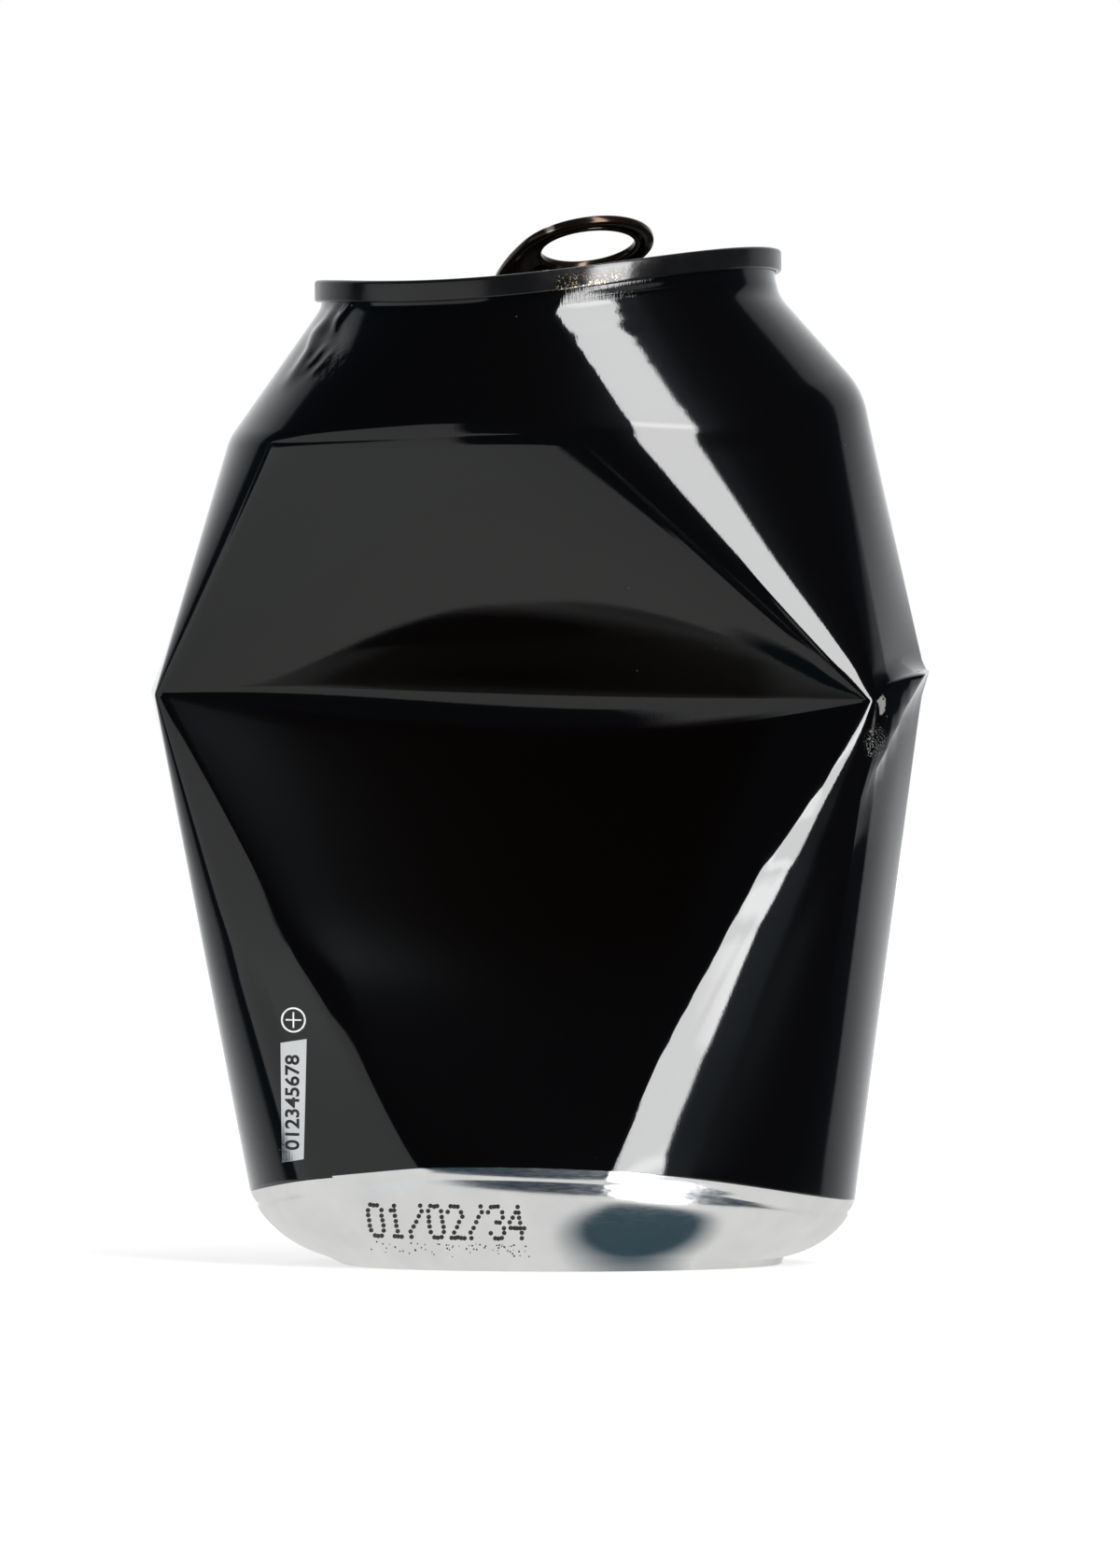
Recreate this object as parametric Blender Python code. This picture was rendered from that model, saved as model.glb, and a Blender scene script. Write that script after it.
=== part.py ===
"""A crushed 355 ml aluminium drink can with its tab lifted, standing on its base ring.

The can was squeezed flat across its middle: the wall folds along a nearly straight crease in
front and another behind, and the folds fan out from the four corners where the creases end.
The frame: +Z up, the floor at z = 0, the front crease along X, the front towards -Y.
Angles round the can start at the front and grow towards +X.
"""
import math

import bmesh
import bpy
import numpy as np
from mathutils import Matrix, Vector

MM = 0.001

# ---- Sheet thicknesses, in millimetres
WALL_SHEET = 0.15
LID_SHEET = 0.22
TAB_SHEET = 0.28

# ---- The fold: the four corners of the flattened section, and a kink in its right side
FOLD_CORNERS = {
    "front_left": Vector((-46.2, -9.2, 65.8)),
    "front_right": Vector((37.7, -11.3, 65.0)),
    "right_kink": Vector((38.9, -7.6, 67.6)),
    "back_right": Vector((41.8, 6.4, 68.5)),
    "back_left": Vector((-49.4, 6.8, 66.4)),
}
CORNER_RADIUS = 0.9
CREASE_BOW_FRONT = 4.5
CREASE_BOW_BACK = -2.6
CREASE_SAG = 0.9

# ---- The rings of the wall: centre x, half width, half depth, and the height at every 45 degrees
PRINT_RING = (-1.05, 35.0, 31.2, (11.3, 8.9, 6.6, 8.4, 10.2, 8.8, 7.4, 9.6))
SHOULDER_RING = (-1.7, 36.7, 29.4, (95.8, 97.6, 101.0, 99.8, 98.0, 96.5, 95.7, 95.2))
NECK_RING = (-1.7, 28.0, 26.2, (106.5, 108.0, 110.4, 109.6, 108.4, 107.4, 107.6, 106.6))
# The neck is drawn out by this much towards its front left and its back right
NECK_SKEW = 2.6
# The shoulder stands out where the front panel has its left end: where, how far, how wide
SHOULDER_CORNER_ANGLE = -50
SHOULDER_CORNER_PUSH = Vector((-0.8, -1.4, 0))
SHOULDER_CORNER_SPREAD = 26

# ---- The stretches of the wall, going round: the fold corners that each runs between, the angles
# ---- between which it meets the shoulder and the print ring, and its number of columns
STRETCHES = (
    ("front_left", "front_right", (-50, 10), (-23, 20), 7),
    ("front_right", "front_right", (10, 62), (20, 60), 6),
    ("front_right", "right_kink", (62, 70), (60, 68), 1),
    ("right_kink", "back_right", (70, 98), (68, 98), 3),
    ("back_right", "back_right", (98, 152), (98, 158), 6),
    ("back_right", "back_left", (152, 204), (158, 204), 5),
    ("back_left", "back_left", (204, 262), (204, 262), 6),
    ("back_left", "front_left", (262, 280), (262, 280), 2),
    ("front_left", "front_left", (280, 310), (280, 337), 5),
)
PANEL_FLATNESS_TOP = 0.1
PANEL_FLATNESS_BOTTOM = 0.45
UPPER_PANEL_BELLY = 1.6
# Where the rows of the wall lie between print ring and fold, and between fold and shoulder
LOWER_WALL_ROWS = (0, 0.1, 0.4, 0.75)
UPPER_WALL_ROWS = (0, 0.3, 0.65)
# Where the rows between shoulder and neck lie, and how far each is lifted off the straight line
NECK_CURVE = ((0.2, 0.7), (0.6, 0.5))

# ---- The base
STAND_INNER_RADIUS = 23.9
STAND_OUTER_RADIUS = 25.0
HEEL_RADIUS = 26.2
HEEL_HEIGHT = 0.7
DOME_RADIUS = 21.6
DOME_EDGE_HEIGHT = 4.4
DOME_TOP_HEIGHT = 9.6
DOME_ROWS = (4.0, 11.0, 17.0)
LEG_RADIUS = 23.0
LEG_HEIGHT = 1.3
TAPER_BELLY = 0.9
TAPER_ROWS = (0.35, 0.7)

# ---- The rim: the double seam's radii, its depths below the rim's top, and its wavy height
RIM_CENTRE_X = -1.6
RIM_RADIUS = 27.0
RIM_HEIGHTS = (113.5, 116.2, 117.3, 116.3, 114.9, 114.0, 113.8, 113.1)
SEAM_DEPTH = 2.5
SEAM_GAP = 0.05
RIM_INNER_RADIUS = RIM_RADIUS - 3 * LID_SHEET - 2 * WALL_SHEET - 4 * SEAM_GAP
HOOK_TOP_DEPTH = 0.55
BODY_HOOK_END_DEPTH = 1.95
COVER_HOOK_END_DEPTH = 0.9
NECK_PLUG_DEPTH = 4.0
FLAT_LID_RADIUS = 22.0

# ---- The lid inside the rim
CHUCK_WALL_SLANT = 0.2
COUNTERSINK_RADII = (23.4, 22.5)
COUNTERSINK_DEPTH = 6.5
PANEL_RADIUS = 21.9
PANEL_DEPTH = 4.5
RIVET_SHANK_RADIUS = 1.5
RIVET_HEAD_RADIUS = 2.5
RIVET_HEAD_THICKNESS = 0.4
RIVET_HEAD_ROUNDING = 0.5
RIVET_SIDES = 16

# ---- The mouth and the tear panel folded down inside it
MOUTH_CENTRE = 11.8
MOUTH_HALF_LENGTH = 8.6
MOUTH_HALF_WIDTH = 11.0
MOUTH_SIDES = 28
FLAP_LENGTH = 15.0
FLAP_HALF_WIDTHS = (3.4, 3.7, 4.2, 4.8, 5.4, 6.8, 3.2)
FLAP_ROOT = 0.9
FLAP_LEDGE = 0.6
FLAP_FOLD = math.radians(78)
FLAP_FOLD_RADIUS = 1.4

# ---- The tab: its outline along its own x, with the rivet at 0
TAB_HALF_WIDTH = 8.1
TAB_RING_CENTRE = 9.4
TAB_NOSE_END = -8.4
TAB_NOSE_HALF_WIDTH = 5.6
TAB_NOSE_BLUNTNESS = 0.6
TAB_THICKNESS = 1.1
TAB_CURL = 0.42
# Each hem's width, and how far its raw edge is raised
TAB_OUTER_HEM = (1.1, 0.12)
TAB_INNER_HEM = (0.75, 0.1)
FINGER_HOLE_CENTRE = 10.2
FINGER_HOLE_HALF_LENGTH = 4.9
FINGER_HOLE_HALF_WIDTH = 5.6
TAB_COLUMNS = 32
TAB_HEADING = math.radians(-49)
TAB_LIFT = math.radians(21.5)
TAB_ROLL = math.radians(-7)
TAB_PIVOT = (-3.4, 0, 1.8)
ISLAND_SHEET = 0.22
ISLAND_CLEARANCE = 0.1
ISLAND_RADIUS = 3.1
ISLAND_STRIP_HALF_WIDTH = 2.5
ISLAND_HOLE_RADIUS = 1.75
ISLAND_SLOT_CENTRE = -0.3
ISLAND_SLOT_RADIUS = 3.4
# Where the island and its strip are bent or change width, along the panel and then along the tab
ISLAND_STATIONS = (2.9, 2.2, 1.1, 0.0, -1.1)
ISLAND_STRIP_BEND = -2.75
ISLAND_STRIP_STATIONS = (-4.3, -5.1)
CUTTER_SIDES = 20
CUTTER_REACH = 2.0

# ---- Finishes: colour, roughness, metallic
FINISHES = {
    "can_body": ((0.006, 0.006, 0.007), 0.12, 0.0),
    "can_lid": ((0.012, 0.011, 0.011), 0.2, 0.6),
    "pull_tab": ((0.03, 0.018, 0.012), 0.2, 0.8),
    "seam_compound": ((0.10, 0.10, 0.09), 0.7, 0.0),
}


def wave(values, angle):
    """The smooth closed curve through values spread evenly round the circle, read at an angle."""
    count = len(values)
    total = sum(values) / count
    for order in range(1, count // 2 + 1):
        weight = (1 if 2 * order == count else 2) / count
        for step, value in enumerate(values):
            total += weight * value * math.cos(order * (angle - math.tau * step / count))
    return total


def around(centre_x, radius, angle, height):
    return Vector((centre_x + radius * math.sin(angle), -radius * math.cos(angle), height))


def ring_point(ring, angle):
    centre_x, half_width, half_depth, heights = ring
    x = centre_x + half_width * math.sin(angle)
    y = -half_depth * math.cos(angle)
    return Vector((x, y, wave(heights, angle)))


def flattened_point(ring, span, fraction, flatness):
    """A point of a ring whose arc between two angles is pushed towards its chord."""
    start, end = (math.radians(angle) for angle in span)
    arc = ring_point(ring, start + (end - start) * fraction)
    chord = ring_point(ring, start).lerp(ring_point(ring, end), fraction)
    return arc.lerp(chord, flatness)


def shoulder_point(angle, span, fraction, flatness):
    """A point of the shoulder's ring, pushed out near its front left corner."""
    turned = math.remainder(math.degrees(angle) - SHOULDER_CORNER_ANGLE, 360)
    share = math.exp(-((turned / SHOULDER_CORNER_SPREAD) ** 2))
    return flattened_point(SHOULDER_RING, span, fraction, flatness) + SHOULDER_CORNER_PUSH * share


def neck_point(angle):
    outward = Vector((math.sin(angle), -math.cos(angle), 0))
    return ring_point(NECK_RING, angle) - outward * NECK_SKEW * math.sin(2 * angle)


def corner_point(corner, previous, following, fraction):
    """A point of the fold line on its way round one small corner."""
    middle = FOLD_CORNERS[corner]
    arriving = middle + (FOLD_CORNERS[previous] - middle).normalized() * CORNER_RADIUS
    leaving = middle + (FOLD_CORNERS[following] - middle).normalized() * CORNER_RADIUS
    return arriving.lerp(middle, fraction).lerp(middle.lerp(leaving, fraction), fraction)


def crease_point(first, last, starts_round, ends_round, fraction):
    """A point of the fold line between two corners; the long creases are pressed inwards."""
    run = (FOLD_CORNERS[last] - FOLD_CORNERS[first]).normalized() * CORNER_RADIUS
    begin = FOLD_CORNERS[first] + run * starts_round
    end = FOLD_CORNERS[last] - run * ends_round
    point = begin.lerp(end, fraction)
    bow = 4 * fraction * (1 - fraction)
    if (first, last) == ("front_left", "front_right"):
        point += Vector((0, CREASE_BOW_FRONT * bow, -CREASE_SAG * bow))
    if (first, last) == ("back_right", "back_left"):
        point += Vector((0, CREASE_BOW_BACK * bow, 0))
    return point


def is_fan(stretch):
    """Whether a stretch of the wall fans out from one corner of the fold."""
    return stretch[0] == stretch[1]


def wall_columns():
    """Each column of the wall: its angle, and its points on the print ring, fold and shoulder."""
    columns = []
    for index, stretch in enumerate(STRETCHES):
        first, last, top_span, bottom_span, count = stretch
        before = STRETCHES[index - 1]
        after = STRETCHES[(index + 1) % len(STRETCHES)]
        is_panel = {first, last} in ({"front_left", "front_right"}, {"back_left", "back_right"})
        for step in range(count):
            fraction = step / count
            angle = math.radians(top_span[0] + (top_span[1] - top_span[0]) * fraction)
            if is_fan(stretch):
                fold = corner_point(first, before[0], after[1], fraction)
            else:
                fold = crease_point(first, last, is_fan(before), is_fan(after), fraction)
            flat_bottom = PANEL_FLATNESS_BOTTOM * is_panel
            flat_top = PANEL_FLATNESS_TOP * is_panel
            column = {
                "angle": angle,
                "print": flattened_point(PRINT_RING, bottom_span, fraction, flat_bottom),
                "fold": fold,
                "shoulder": shoulder_point(angle, top_span, fraction, flat_top),
                "belly": UPPER_PANEL_BELLY * is_panel * math.sqrt(4 * fraction * (1 - fraction)),
            }
            columns.append(column)
    return columns


def rim_height(x, y):
    """The height of the rim's top at a place: a tilted plane, warped only near the seam."""
    from_centre_x = x - RIM_CENTRE_X
    radius = math.hypot(from_centre_x, y)
    angle = math.atan2(from_centre_x, -y)
    mean, slope_x, slope_y = rim_plane()
    flat = mean + slope_x * from_centre_x + slope_y * y
    edge = mean + RIM_RADIUS * (slope_x * math.sin(angle) - slope_y * math.cos(angle))
    share = min(max((radius - FLAT_LID_RADIUS) / (RIM_INNER_RADIUS - FLAT_LID_RADIUS), 0), 1)
    return flat + (wave(RIM_HEIGHTS, angle) - edge) * share * share * (3 - 2 * share)


def rim_plane():
    """The mean height of the rim, and its slopes along x and y."""
    count = len(RIM_HEIGHTS)
    angles = [math.tau * step / count for step in range(count)]
    mean = sum(RIM_HEIGHTS) / count
    sine = sum(h * math.sin(a) for h, a in zip(RIM_HEIGHTS, angles)) * 2 / count
    cosine = sum(h * math.cos(a) for h, a in zip(RIM_HEIGHTS, angles)) * 2 / count
    return mean, sine / RIM_RADIUS, -cosine / RIM_RADIUS


def rim_ring(columns, radius, depth):
    """A ring of the seam or the lid: a radius from the rim's centre, and a depth below its top."""
    points = [around(RIM_CENTRE_X, radius, column["angle"], 0) for column in columns]
    return [Vector((p.x, p.y, rim_height(p.x, p.y) - depth)) for p in points]


def new_object(name, mesh_builder):
    """A mesh object from a bmesh, smooth, with its finish."""
    mesh = bpy.data.meshes.new(name)
    mesh_builder.normal_update()
    mesh_builder.to_mesh(mesh)
    mesh_builder.free()
    mesh.shade_smooth()
    mesh.set_sharp_from_angle(angle=math.radians(30))
    part = bpy.data.objects.new(name, mesh)
    bpy.context.scene.collection.objects.link(part)
    return part


def add_finish(part):
    colour, roughness, metallic = FINISHES[part.name]
    material = bpy.data.materials.new(part.name + "_finish")
    material.use_nodes = True
    shader = material.node_tree.nodes["Principled BSDF"]
    shader.inputs["Base Color"].default_value = (*colour, 1)
    shader.inputs["Roughness"].default_value = roughness
    shader.inputs["Metallic"].default_value = metallic
    part.data.materials.append(material)


def skin(rings, cap_first=False, cap_last=False, closed=False):
    """A skin over closed rings of equal length, given in millimetres."""
    builder = bmesh.new()
    loops = [[builder.verts.new(point * MM) for point in ring] for ring in rings]
    pairs = list(zip(loops, loops[1:]))
    if closed:
        pairs.append((loops[-1], loops[0]))
    for low, high in pairs:
        for i in range(len(low)):
            j = (i + 1) % len(low)
            builder.faces.new((low[i], low[j], high[j], high[i]))
    if cap_first:
        builder.faces.new(reversed(loops[0]))
    if cap_last:
        builder.faces.new(loops[-1])
    return builder


def thicken(part, thickness):
    sheet = part.modifiers.new("sheet", "SOLIDIFY")
    sheet.thickness = thickness * MM
    sheet.offset = -1
    sheet.use_even_offset = True
    sheet.use_quality_normals = True


def combine(part, other, operation):
    """Cuts a helper from a part or joins it on; the helper itself isn't part of the can."""
    step = part.modifiers.new(other.name, "BOOLEAN")
    step.operation = operation
    step.object = other
    other.hide_render = True
    other.display_type = "WIRE"


def dome_height(radius):
    share = radius / DOME_RADIUS
    return DOME_TOP_HEIGHT - (DOME_TOP_HEIGHT - DOME_EDGE_HEIGHT) * share * share


def between(columns, low, high, fraction):
    """A ring of the wall part way between two of its key rings, bellied out over the panels."""
    bulge = 4 * fraction * (1 - fraction) * (low == "fold")
    points = []
    for column in columns:
        point = column[low].lerp(column[high], fraction)
        outward = Vector((0, math.copysign(1, point.y), 0))
        points.append(point + outward * column["belly"] * bulge)
    return points


def base_rings(columns):
    """The domed base, the flat stand ring and the heel, from the middle outwards."""
    profile = [(radius, dome_height(radius)) for radius in DOME_ROWS]
    profile += [
        (DOME_RADIUS, DOME_EDGE_HEIGHT),
        (LEG_RADIUS, LEG_HEIGHT),
        (STAND_INNER_RADIUS, 0),
        (STAND_OUTER_RADIUS, 0),
        (HEEL_RADIUS, HEEL_HEIGHT),
    ]
    return [[around(0, radius, c["angle"], height) for c in columns] for radius, height in profile]


def taper_rings(columns):
    """The bare taper between the heel and the print ring, slightly rounded."""
    rings = []
    for fraction in TAPER_ROWS:
        ring = []
        for column in columns:
            heel = around(0, HEEL_RADIUS, column["angle"], HEEL_HEIGHT)
            point = heel.lerp(column["print"], fraction)
            out = Vector((point.x, point.y, 0)).normalized()
            ring.append(point + (out - Vector((0, 0, 1))) * TAPER_BELLY * 4 * fraction * (1 - fraction))
        rings.append(ring)
    return rings


def neck_rings(columns):
    """The neck from the shoulder up to the plug under the seam."""
    top = [neck_point(column["angle"]) for column in columns]
    shoulder = [column["shoulder"] for column in columns]
    rings = [shoulder]
    for fraction, lift in NECK_CURVE:
        ring = [low.lerp(high, fraction) + Vector((0, 0, lift)) for low, high in zip(shoulder, top)]
        rings.append(ring)
    rings.append(top)
    return rings


def make_body(columns):
    """The drawn wall and base: one sheet from the dome to the hook that the seam holds."""
    riser = RIM_INNER_RADIUS + LID_SHEET + SEAM_GAP + WALL_SHEET
    hook = RIM_RADIUS - LID_SHEET - SEAM_GAP - WALL_SHEET
    hook_underside = HOOK_TOP_DEPTH + WALL_SHEET
    rings = base_rings(columns) + taper_rings(columns)
    rings += [between(columns, "print", "fold", f) for f in LOWER_WALL_ROWS]
    rings += [between(columns, "fold", "shoulder", f) for f in UPPER_WALL_ROWS]
    rings += neck_rings(columns)
    rings += [
        rim_ring(columns, riser, NECK_PLUG_DEPTH),
        rim_ring(columns, riser, hook_underside),
        rim_ring(columns, hook, hook_underside),
        rim_ring(columns, hook, BODY_HOOK_END_DEPTH),
    ]
    body = new_object("can_body", skin(rings, cap_first=True))
    thicken(body, WALL_SHEET)
    return body


def lid_frame():
    """The place of the lid's panel: its middle, on its top face, tilted as the rim is."""
    mean, slope_x, slope_y = rim_plane()
    up = Vector((-slope_x, -slope_y, 1)).normalized()
    along = Vector((1, 0, slope_x)).normalized()
    across = up.cross(along)
    turn = Matrix((along, across, up)).transposed().to_4x4()
    return Matrix.Translation(Vector((RIM_CENTRE_X, 0, mean - PANEL_DEPTH)) * MM) @ turn


def tab_heading_frame():
    """The lid's panel turned so that x runs from the rivet to the tab's ring."""
    return lid_frame() @ Matrix.Rotation(TAB_HEADING, 4, "Z")


def outline(point_at, count, height):
    return [Vector((*point_at(math.tau * i / count), height)) for i in range(count)]


def mouth_point(angle):
    x = -MOUTH_CENTRE + MOUTH_HALF_LENGTH * math.cos(angle)
    return x, MOUTH_HALF_WIDTH * math.sin(angle)


def strip(name, path, half_widths, thickness):
    """A bent strip of sheet: its middle line as (along, height), with its half width at each point."""
    builder = bmesh.new()
    rows = []
    for (along, height), half in zip(path, half_widths):
        rows.append([builder.verts.new(Vector((along, side * half, height)) * MM) for side in (-1, 0, 1)])
    for low, high in zip(rows, rows[1:]):
        for i in (0, 1):
            builder.faces.new((low[i], low[i + 1], high[i + 1], high[i]))
    bmesh.ops.recalc_face_normals(builder, faces=builder.faces)
    piece = new_object(name, builder)
    thicken(piece, thickness)
    piece.modifiers["sheet"].offset = 0
    return piece


def make_flap():
    """The tear panel, bent down at its hinge on the mouth's side and left hanging inside."""
    height = -LID_SHEET / 2
    path = [(-FLAP_ROOT, height), (FLAP_LEDGE, height)]
    for share in (1 / 3, 2 / 3, 1):
        turn = FLAP_FOLD * share
        along = FLAP_LEDGE + FLAP_FOLD_RADIUS * math.sin(turn)
        path.append((along, height - FLAP_FOLD_RADIUS * (1 - math.cos(turn))))
    end_along, end_height = path[-1]
    for length in (FLAP_LENGTH * 0.5, FLAP_LENGTH):
        drop = length * math.sin(FLAP_FOLD)
        path.append((end_along + length * math.cos(FLAP_FOLD), end_height - drop))
    flap = strip("tear_panel_shape", path, FLAP_HALF_WIDTHS, LID_SHEET)
    hinge = Matrix.Translation(Vector((-MOUTH_CENTRE, MOUTH_HALF_WIDTH, 0)) * MM)
    flap.matrix_world = tab_heading_frame() @ hinge @ Matrix.Rotation(math.radians(-90), 4, "Z")
    return flap


def make_rivet():
    """The rivet drawn up from the panel's own metal, its head over the tab's island."""
    island_top = 2 * ISLAND_CLEARANCE + ISLAND_SHEET
    profile = [
        (RIVET_SHANK_RADIUS, -LID_SHEET / 2),
        (RIVET_SHANK_RADIUS, island_top),
        (RIVET_HEAD_RADIUS, island_top),
        (RIVET_HEAD_RADIUS, island_top + RIVET_HEAD_THICKNESS * 0.6),
        (RIVET_HEAD_RADIUS - RIVET_HEAD_ROUNDING, island_top + RIVET_HEAD_THICKNESS),
    ]
    rings = [
        outline(lambda a, r=radius: (r * math.cos(a), r * math.sin(a)), RIVET_SIDES, height)
        for radius, height in profile
    ]
    rivet = new_object("rivet_shape", skin(rings, cap_first=True, cap_last=True))
    rivet.matrix_world = lid_frame()
    return rivet


def make_lid(columns):
    """The end: seaming curl, chuck wall, countersink and panel, with its rivet and open mouth."""
    cover_hook = RIM_RADIUS - 2 * LID_SHEET - WALL_SHEET - 2 * SEAM_GAP
    profile = [
        (cover_hook, COVER_HOOK_END_DEPTH),
        (cover_hook, SEAM_DEPTH),
        (RIM_RADIUS, SEAM_DEPTH),
        (RIM_RADIUS, 0),
        (RIM_INNER_RADIUS, 0),
        (RIM_INNER_RADIUS - CHUCK_WALL_SLANT, SEAM_DEPTH),
        (COUNTERSINK_RADII[0], COUNTERSINK_DEPTH),
        (COUNTERSINK_RADII[1], COUNTERSINK_DEPTH),
        (PANEL_RADIUS, PANEL_DEPTH),
    ]
    rings = [rim_ring(columns, radius, depth) for radius, depth in profile]
    lid = new_object("can_lid", skin(rings, cap_last=True))
    thicken(lid, LID_SHEET)

    cutter_rings = [outline(mouth_point, MOUTH_SIDES, height) for height in (-CUTTER_REACH, CUTTER_REACH)]
    mouth = new_object("mouth_cutter", skin(cutter_rings, cap_first=True, cap_last=True))
    mouth.matrix_world = tab_heading_frame()
    combine(lid, mouth, "DIFFERENCE")
    combine(lid, make_flap(), "UNION")
    combine(lid, make_rivet(), "UNION")
    return lid


def make_compound(columns):
    """The sealing compound, a soft ring squeezed between the lid's curl and the body's hook."""
    inner = RIM_INNER_RADIUS + LID_SHEET + 2 * SEAM_GAP
    outer = RIM_RADIUS - LID_SHEET - 2 * SEAM_GAP
    top = LID_SHEET + SEAM_GAP
    bottom = HOOK_TOP_DEPTH - SEAM_GAP
    section = [(outer, bottom), (outer, top), (inner, top), (inner, bottom)]
    rings = [rim_ring(columns, radius, depth) for radius, depth in section]
    return new_object("seam_compound", skin(rings, closed=True))


def tab_outer(angle):
    """The tab's outer edge: a round ring end, and sides that draw in to a blunt nose."""
    forward = math.cos(angle)
    across = math.sin(angle)
    if forward >= 0:
        return TAB_RING_CENTRE + TAB_HALF_WIDTH * forward, TAB_HALF_WIDTH * across
    x = TAB_RING_CENTRE + (TAB_RING_CENTRE - TAB_NOSE_END) * forward
    half_width = TAB_HALF_WIDTH + (TAB_NOSE_HALF_WIDTH - TAB_HALF_WIDTH) * forward * forward
    return x, half_width * math.copysign(abs(across) ** TAB_NOSE_BLUNTNESS, across)


def finger_hole(angle):
    x = FINGER_HOLE_CENTRE + FINGER_HOLE_HALF_LENGTH * math.cos(angle)
    return x, FINGER_HOLE_HALF_WIDTH * math.sin(angle)


def tab_rings():
    """The tab's sheet, from the raw edge of its outer hem, over the top, to its inner hem."""
    half = TAB_THICKNESS / 2
    outer_side = [
        (TAB_OUTER_HEM[0], -half + TAB_OUTER_HEM[1]),
        (TAB_CURL, -half),
        (0, -half + TAB_CURL),
        (0, half - TAB_CURL),
        (TAB_CURL, half),
    ]
    inner_side = [
        (TAB_CURL, half),
        (0, 0),
        (TAB_CURL, -half),
        (TAB_INNER_HEM[0], -half + TAB_INNER_HEM[1]),
    ]
    angles = [math.tau * i / TAB_COLUMNS for i in range(TAB_COLUMNS)]
    outer = [Vector((*tab_outer(a), 0)) for a in angles]
    inner = [Vector((*finger_hole(a), 0)) for a in angles]
    inward = [(h - o).normalized() for o, h in zip(outer, inner)]
    rings = []
    for inset, height in outer_side:
        rings.append([o + d * inset + Vector((0, 0, height)) for o, d in zip(outer, inward)])
    for inset, height in inner_side:
        rings.append([h - d * inset + Vector((0, 0, height)) for h, d in zip(inner, inward)])
    return rings


def tab_frame():
    """The lifted tab's own frame: turned up about its bend, just beyond the rivet."""
    pivot = Vector(TAB_PIVOT) * MM
    lift = Matrix.Rotation(-TAB_LIFT, 4, "Y") @ Matrix.Rotation(TAB_ROLL, 4, "X")
    beyond = Matrix.Translation(Vector((-pivot.x, 0, 0)))
    return tab_heading_frame() @ Matrix.Translation(pivot) @ lift @ beyond


def make_island():
    """The flat island under the rivet's head, and the bent strip that joins it to the tab's web."""
    flat = ISLAND_CLEARANCE + ISLAND_SHEET / 2
    path = []
    half_widths = []
    for along in ISLAND_STATIONS:
        path.append((along, flat))
        half_widths.append(math.sqrt(ISLAND_RADIUS**2 - along**2))
    to_heading = tab_heading_frame().inverted() @ tab_frame()
    web = TAB_THICKNESS / 2 - TAB_SHEET / 2
    path.append((ISLAND_STRIP_BEND, flat))
    for along in ISLAND_STRIP_STATIONS:
        joined = to_heading @ (Vector((along, 0, web)) * MM) / MM
        path.append((joined.x, joined.z))
    half_widths += [ISLAND_STRIP_HALF_WIDTH] * (1 + len(ISLAND_STRIP_STATIONS))
    island = strip("island_shape", path, half_widths, ISLAND_SHEET)
    island.matrix_world = tab_heading_frame()
    return island


def cylinder(name, radius, centre_x, low, high, frame):
    def circle(angle):
        turned = angle + math.pi / CUTTER_SIDES
        return centre_x + radius * math.cos(turned), radius * math.sin(turned)

    rings = [outline(circle, CUTTER_SIDES, height) for height in (low, high)]
    piece = new_object(name, skin(rings, cap_first=True, cap_last=True))
    piece.matrix_world = frame
    return piece


def make_tab():
    """The pull tab: one sheet with hemmed edges, and the island that the rivet holds down."""
    tab = new_object("pull_tab", skin(tab_rings()))
    thicken(tab, TAB_SHEET)
    tab.matrix_world = tab_frame()
    slot = cylinder("slot_cutter", ISLAND_SLOT_RADIUS, ISLAND_SLOT_CENTRE, 0, CUTTER_REACH, tab_frame())
    combine(tab, slot, "DIFFERENCE")
    combine(tab, make_island(), "UNION")
    hole = cylinder("hole_cutter", ISLAND_HOLE_RADIUS, 0, -1, 1, tab_heading_frame())
    combine(tab, hole, "DIFFERENCE")
    return tab


def clear_scene():
    for old in list(bpy.data.objects):
        bpy.data.objects.remove(old)


def centre_on_origin(parts, body):
    """Moves everything so that the can's box is centred on the Z axis."""
    bpy.context.view_layer.update()
    corners = np.array([body.matrix_world @ Vector(corner) for corner in body.bound_box])
    middle = (corners.min(axis=0) + corners.max(axis=0)) / 2
    base = bpy.data.objects.new("can_origin", None)
    bpy.context.scene.collection.objects.link(base)
    for part in parts:
        part.parent = base
    base.location = (-middle[0], -middle[1], 0)


def main():
    clear_scene()
    columns = wall_columns()
    body = make_body(columns)
    shown = [body, make_lid(columns), make_compound(columns), make_tab()]
    for part in shown:
        add_finish(part)
    centre_on_origin(list(bpy.data.objects), body)


main()
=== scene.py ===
"""The looks of a crushed black drink can: lacquer, bare metal, rim, tab and print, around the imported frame.

Units: sizes are in millimetres unless a name says otherwise; meshes and materials are in metres.
Angles round the can start at the front (-Y) and grow towards +X.
"""
import math

import bmesh
import bpy
import numpy as np
from mathutils import Matrix, Vector
from mathutils.bvhtree import BVHTree


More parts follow.
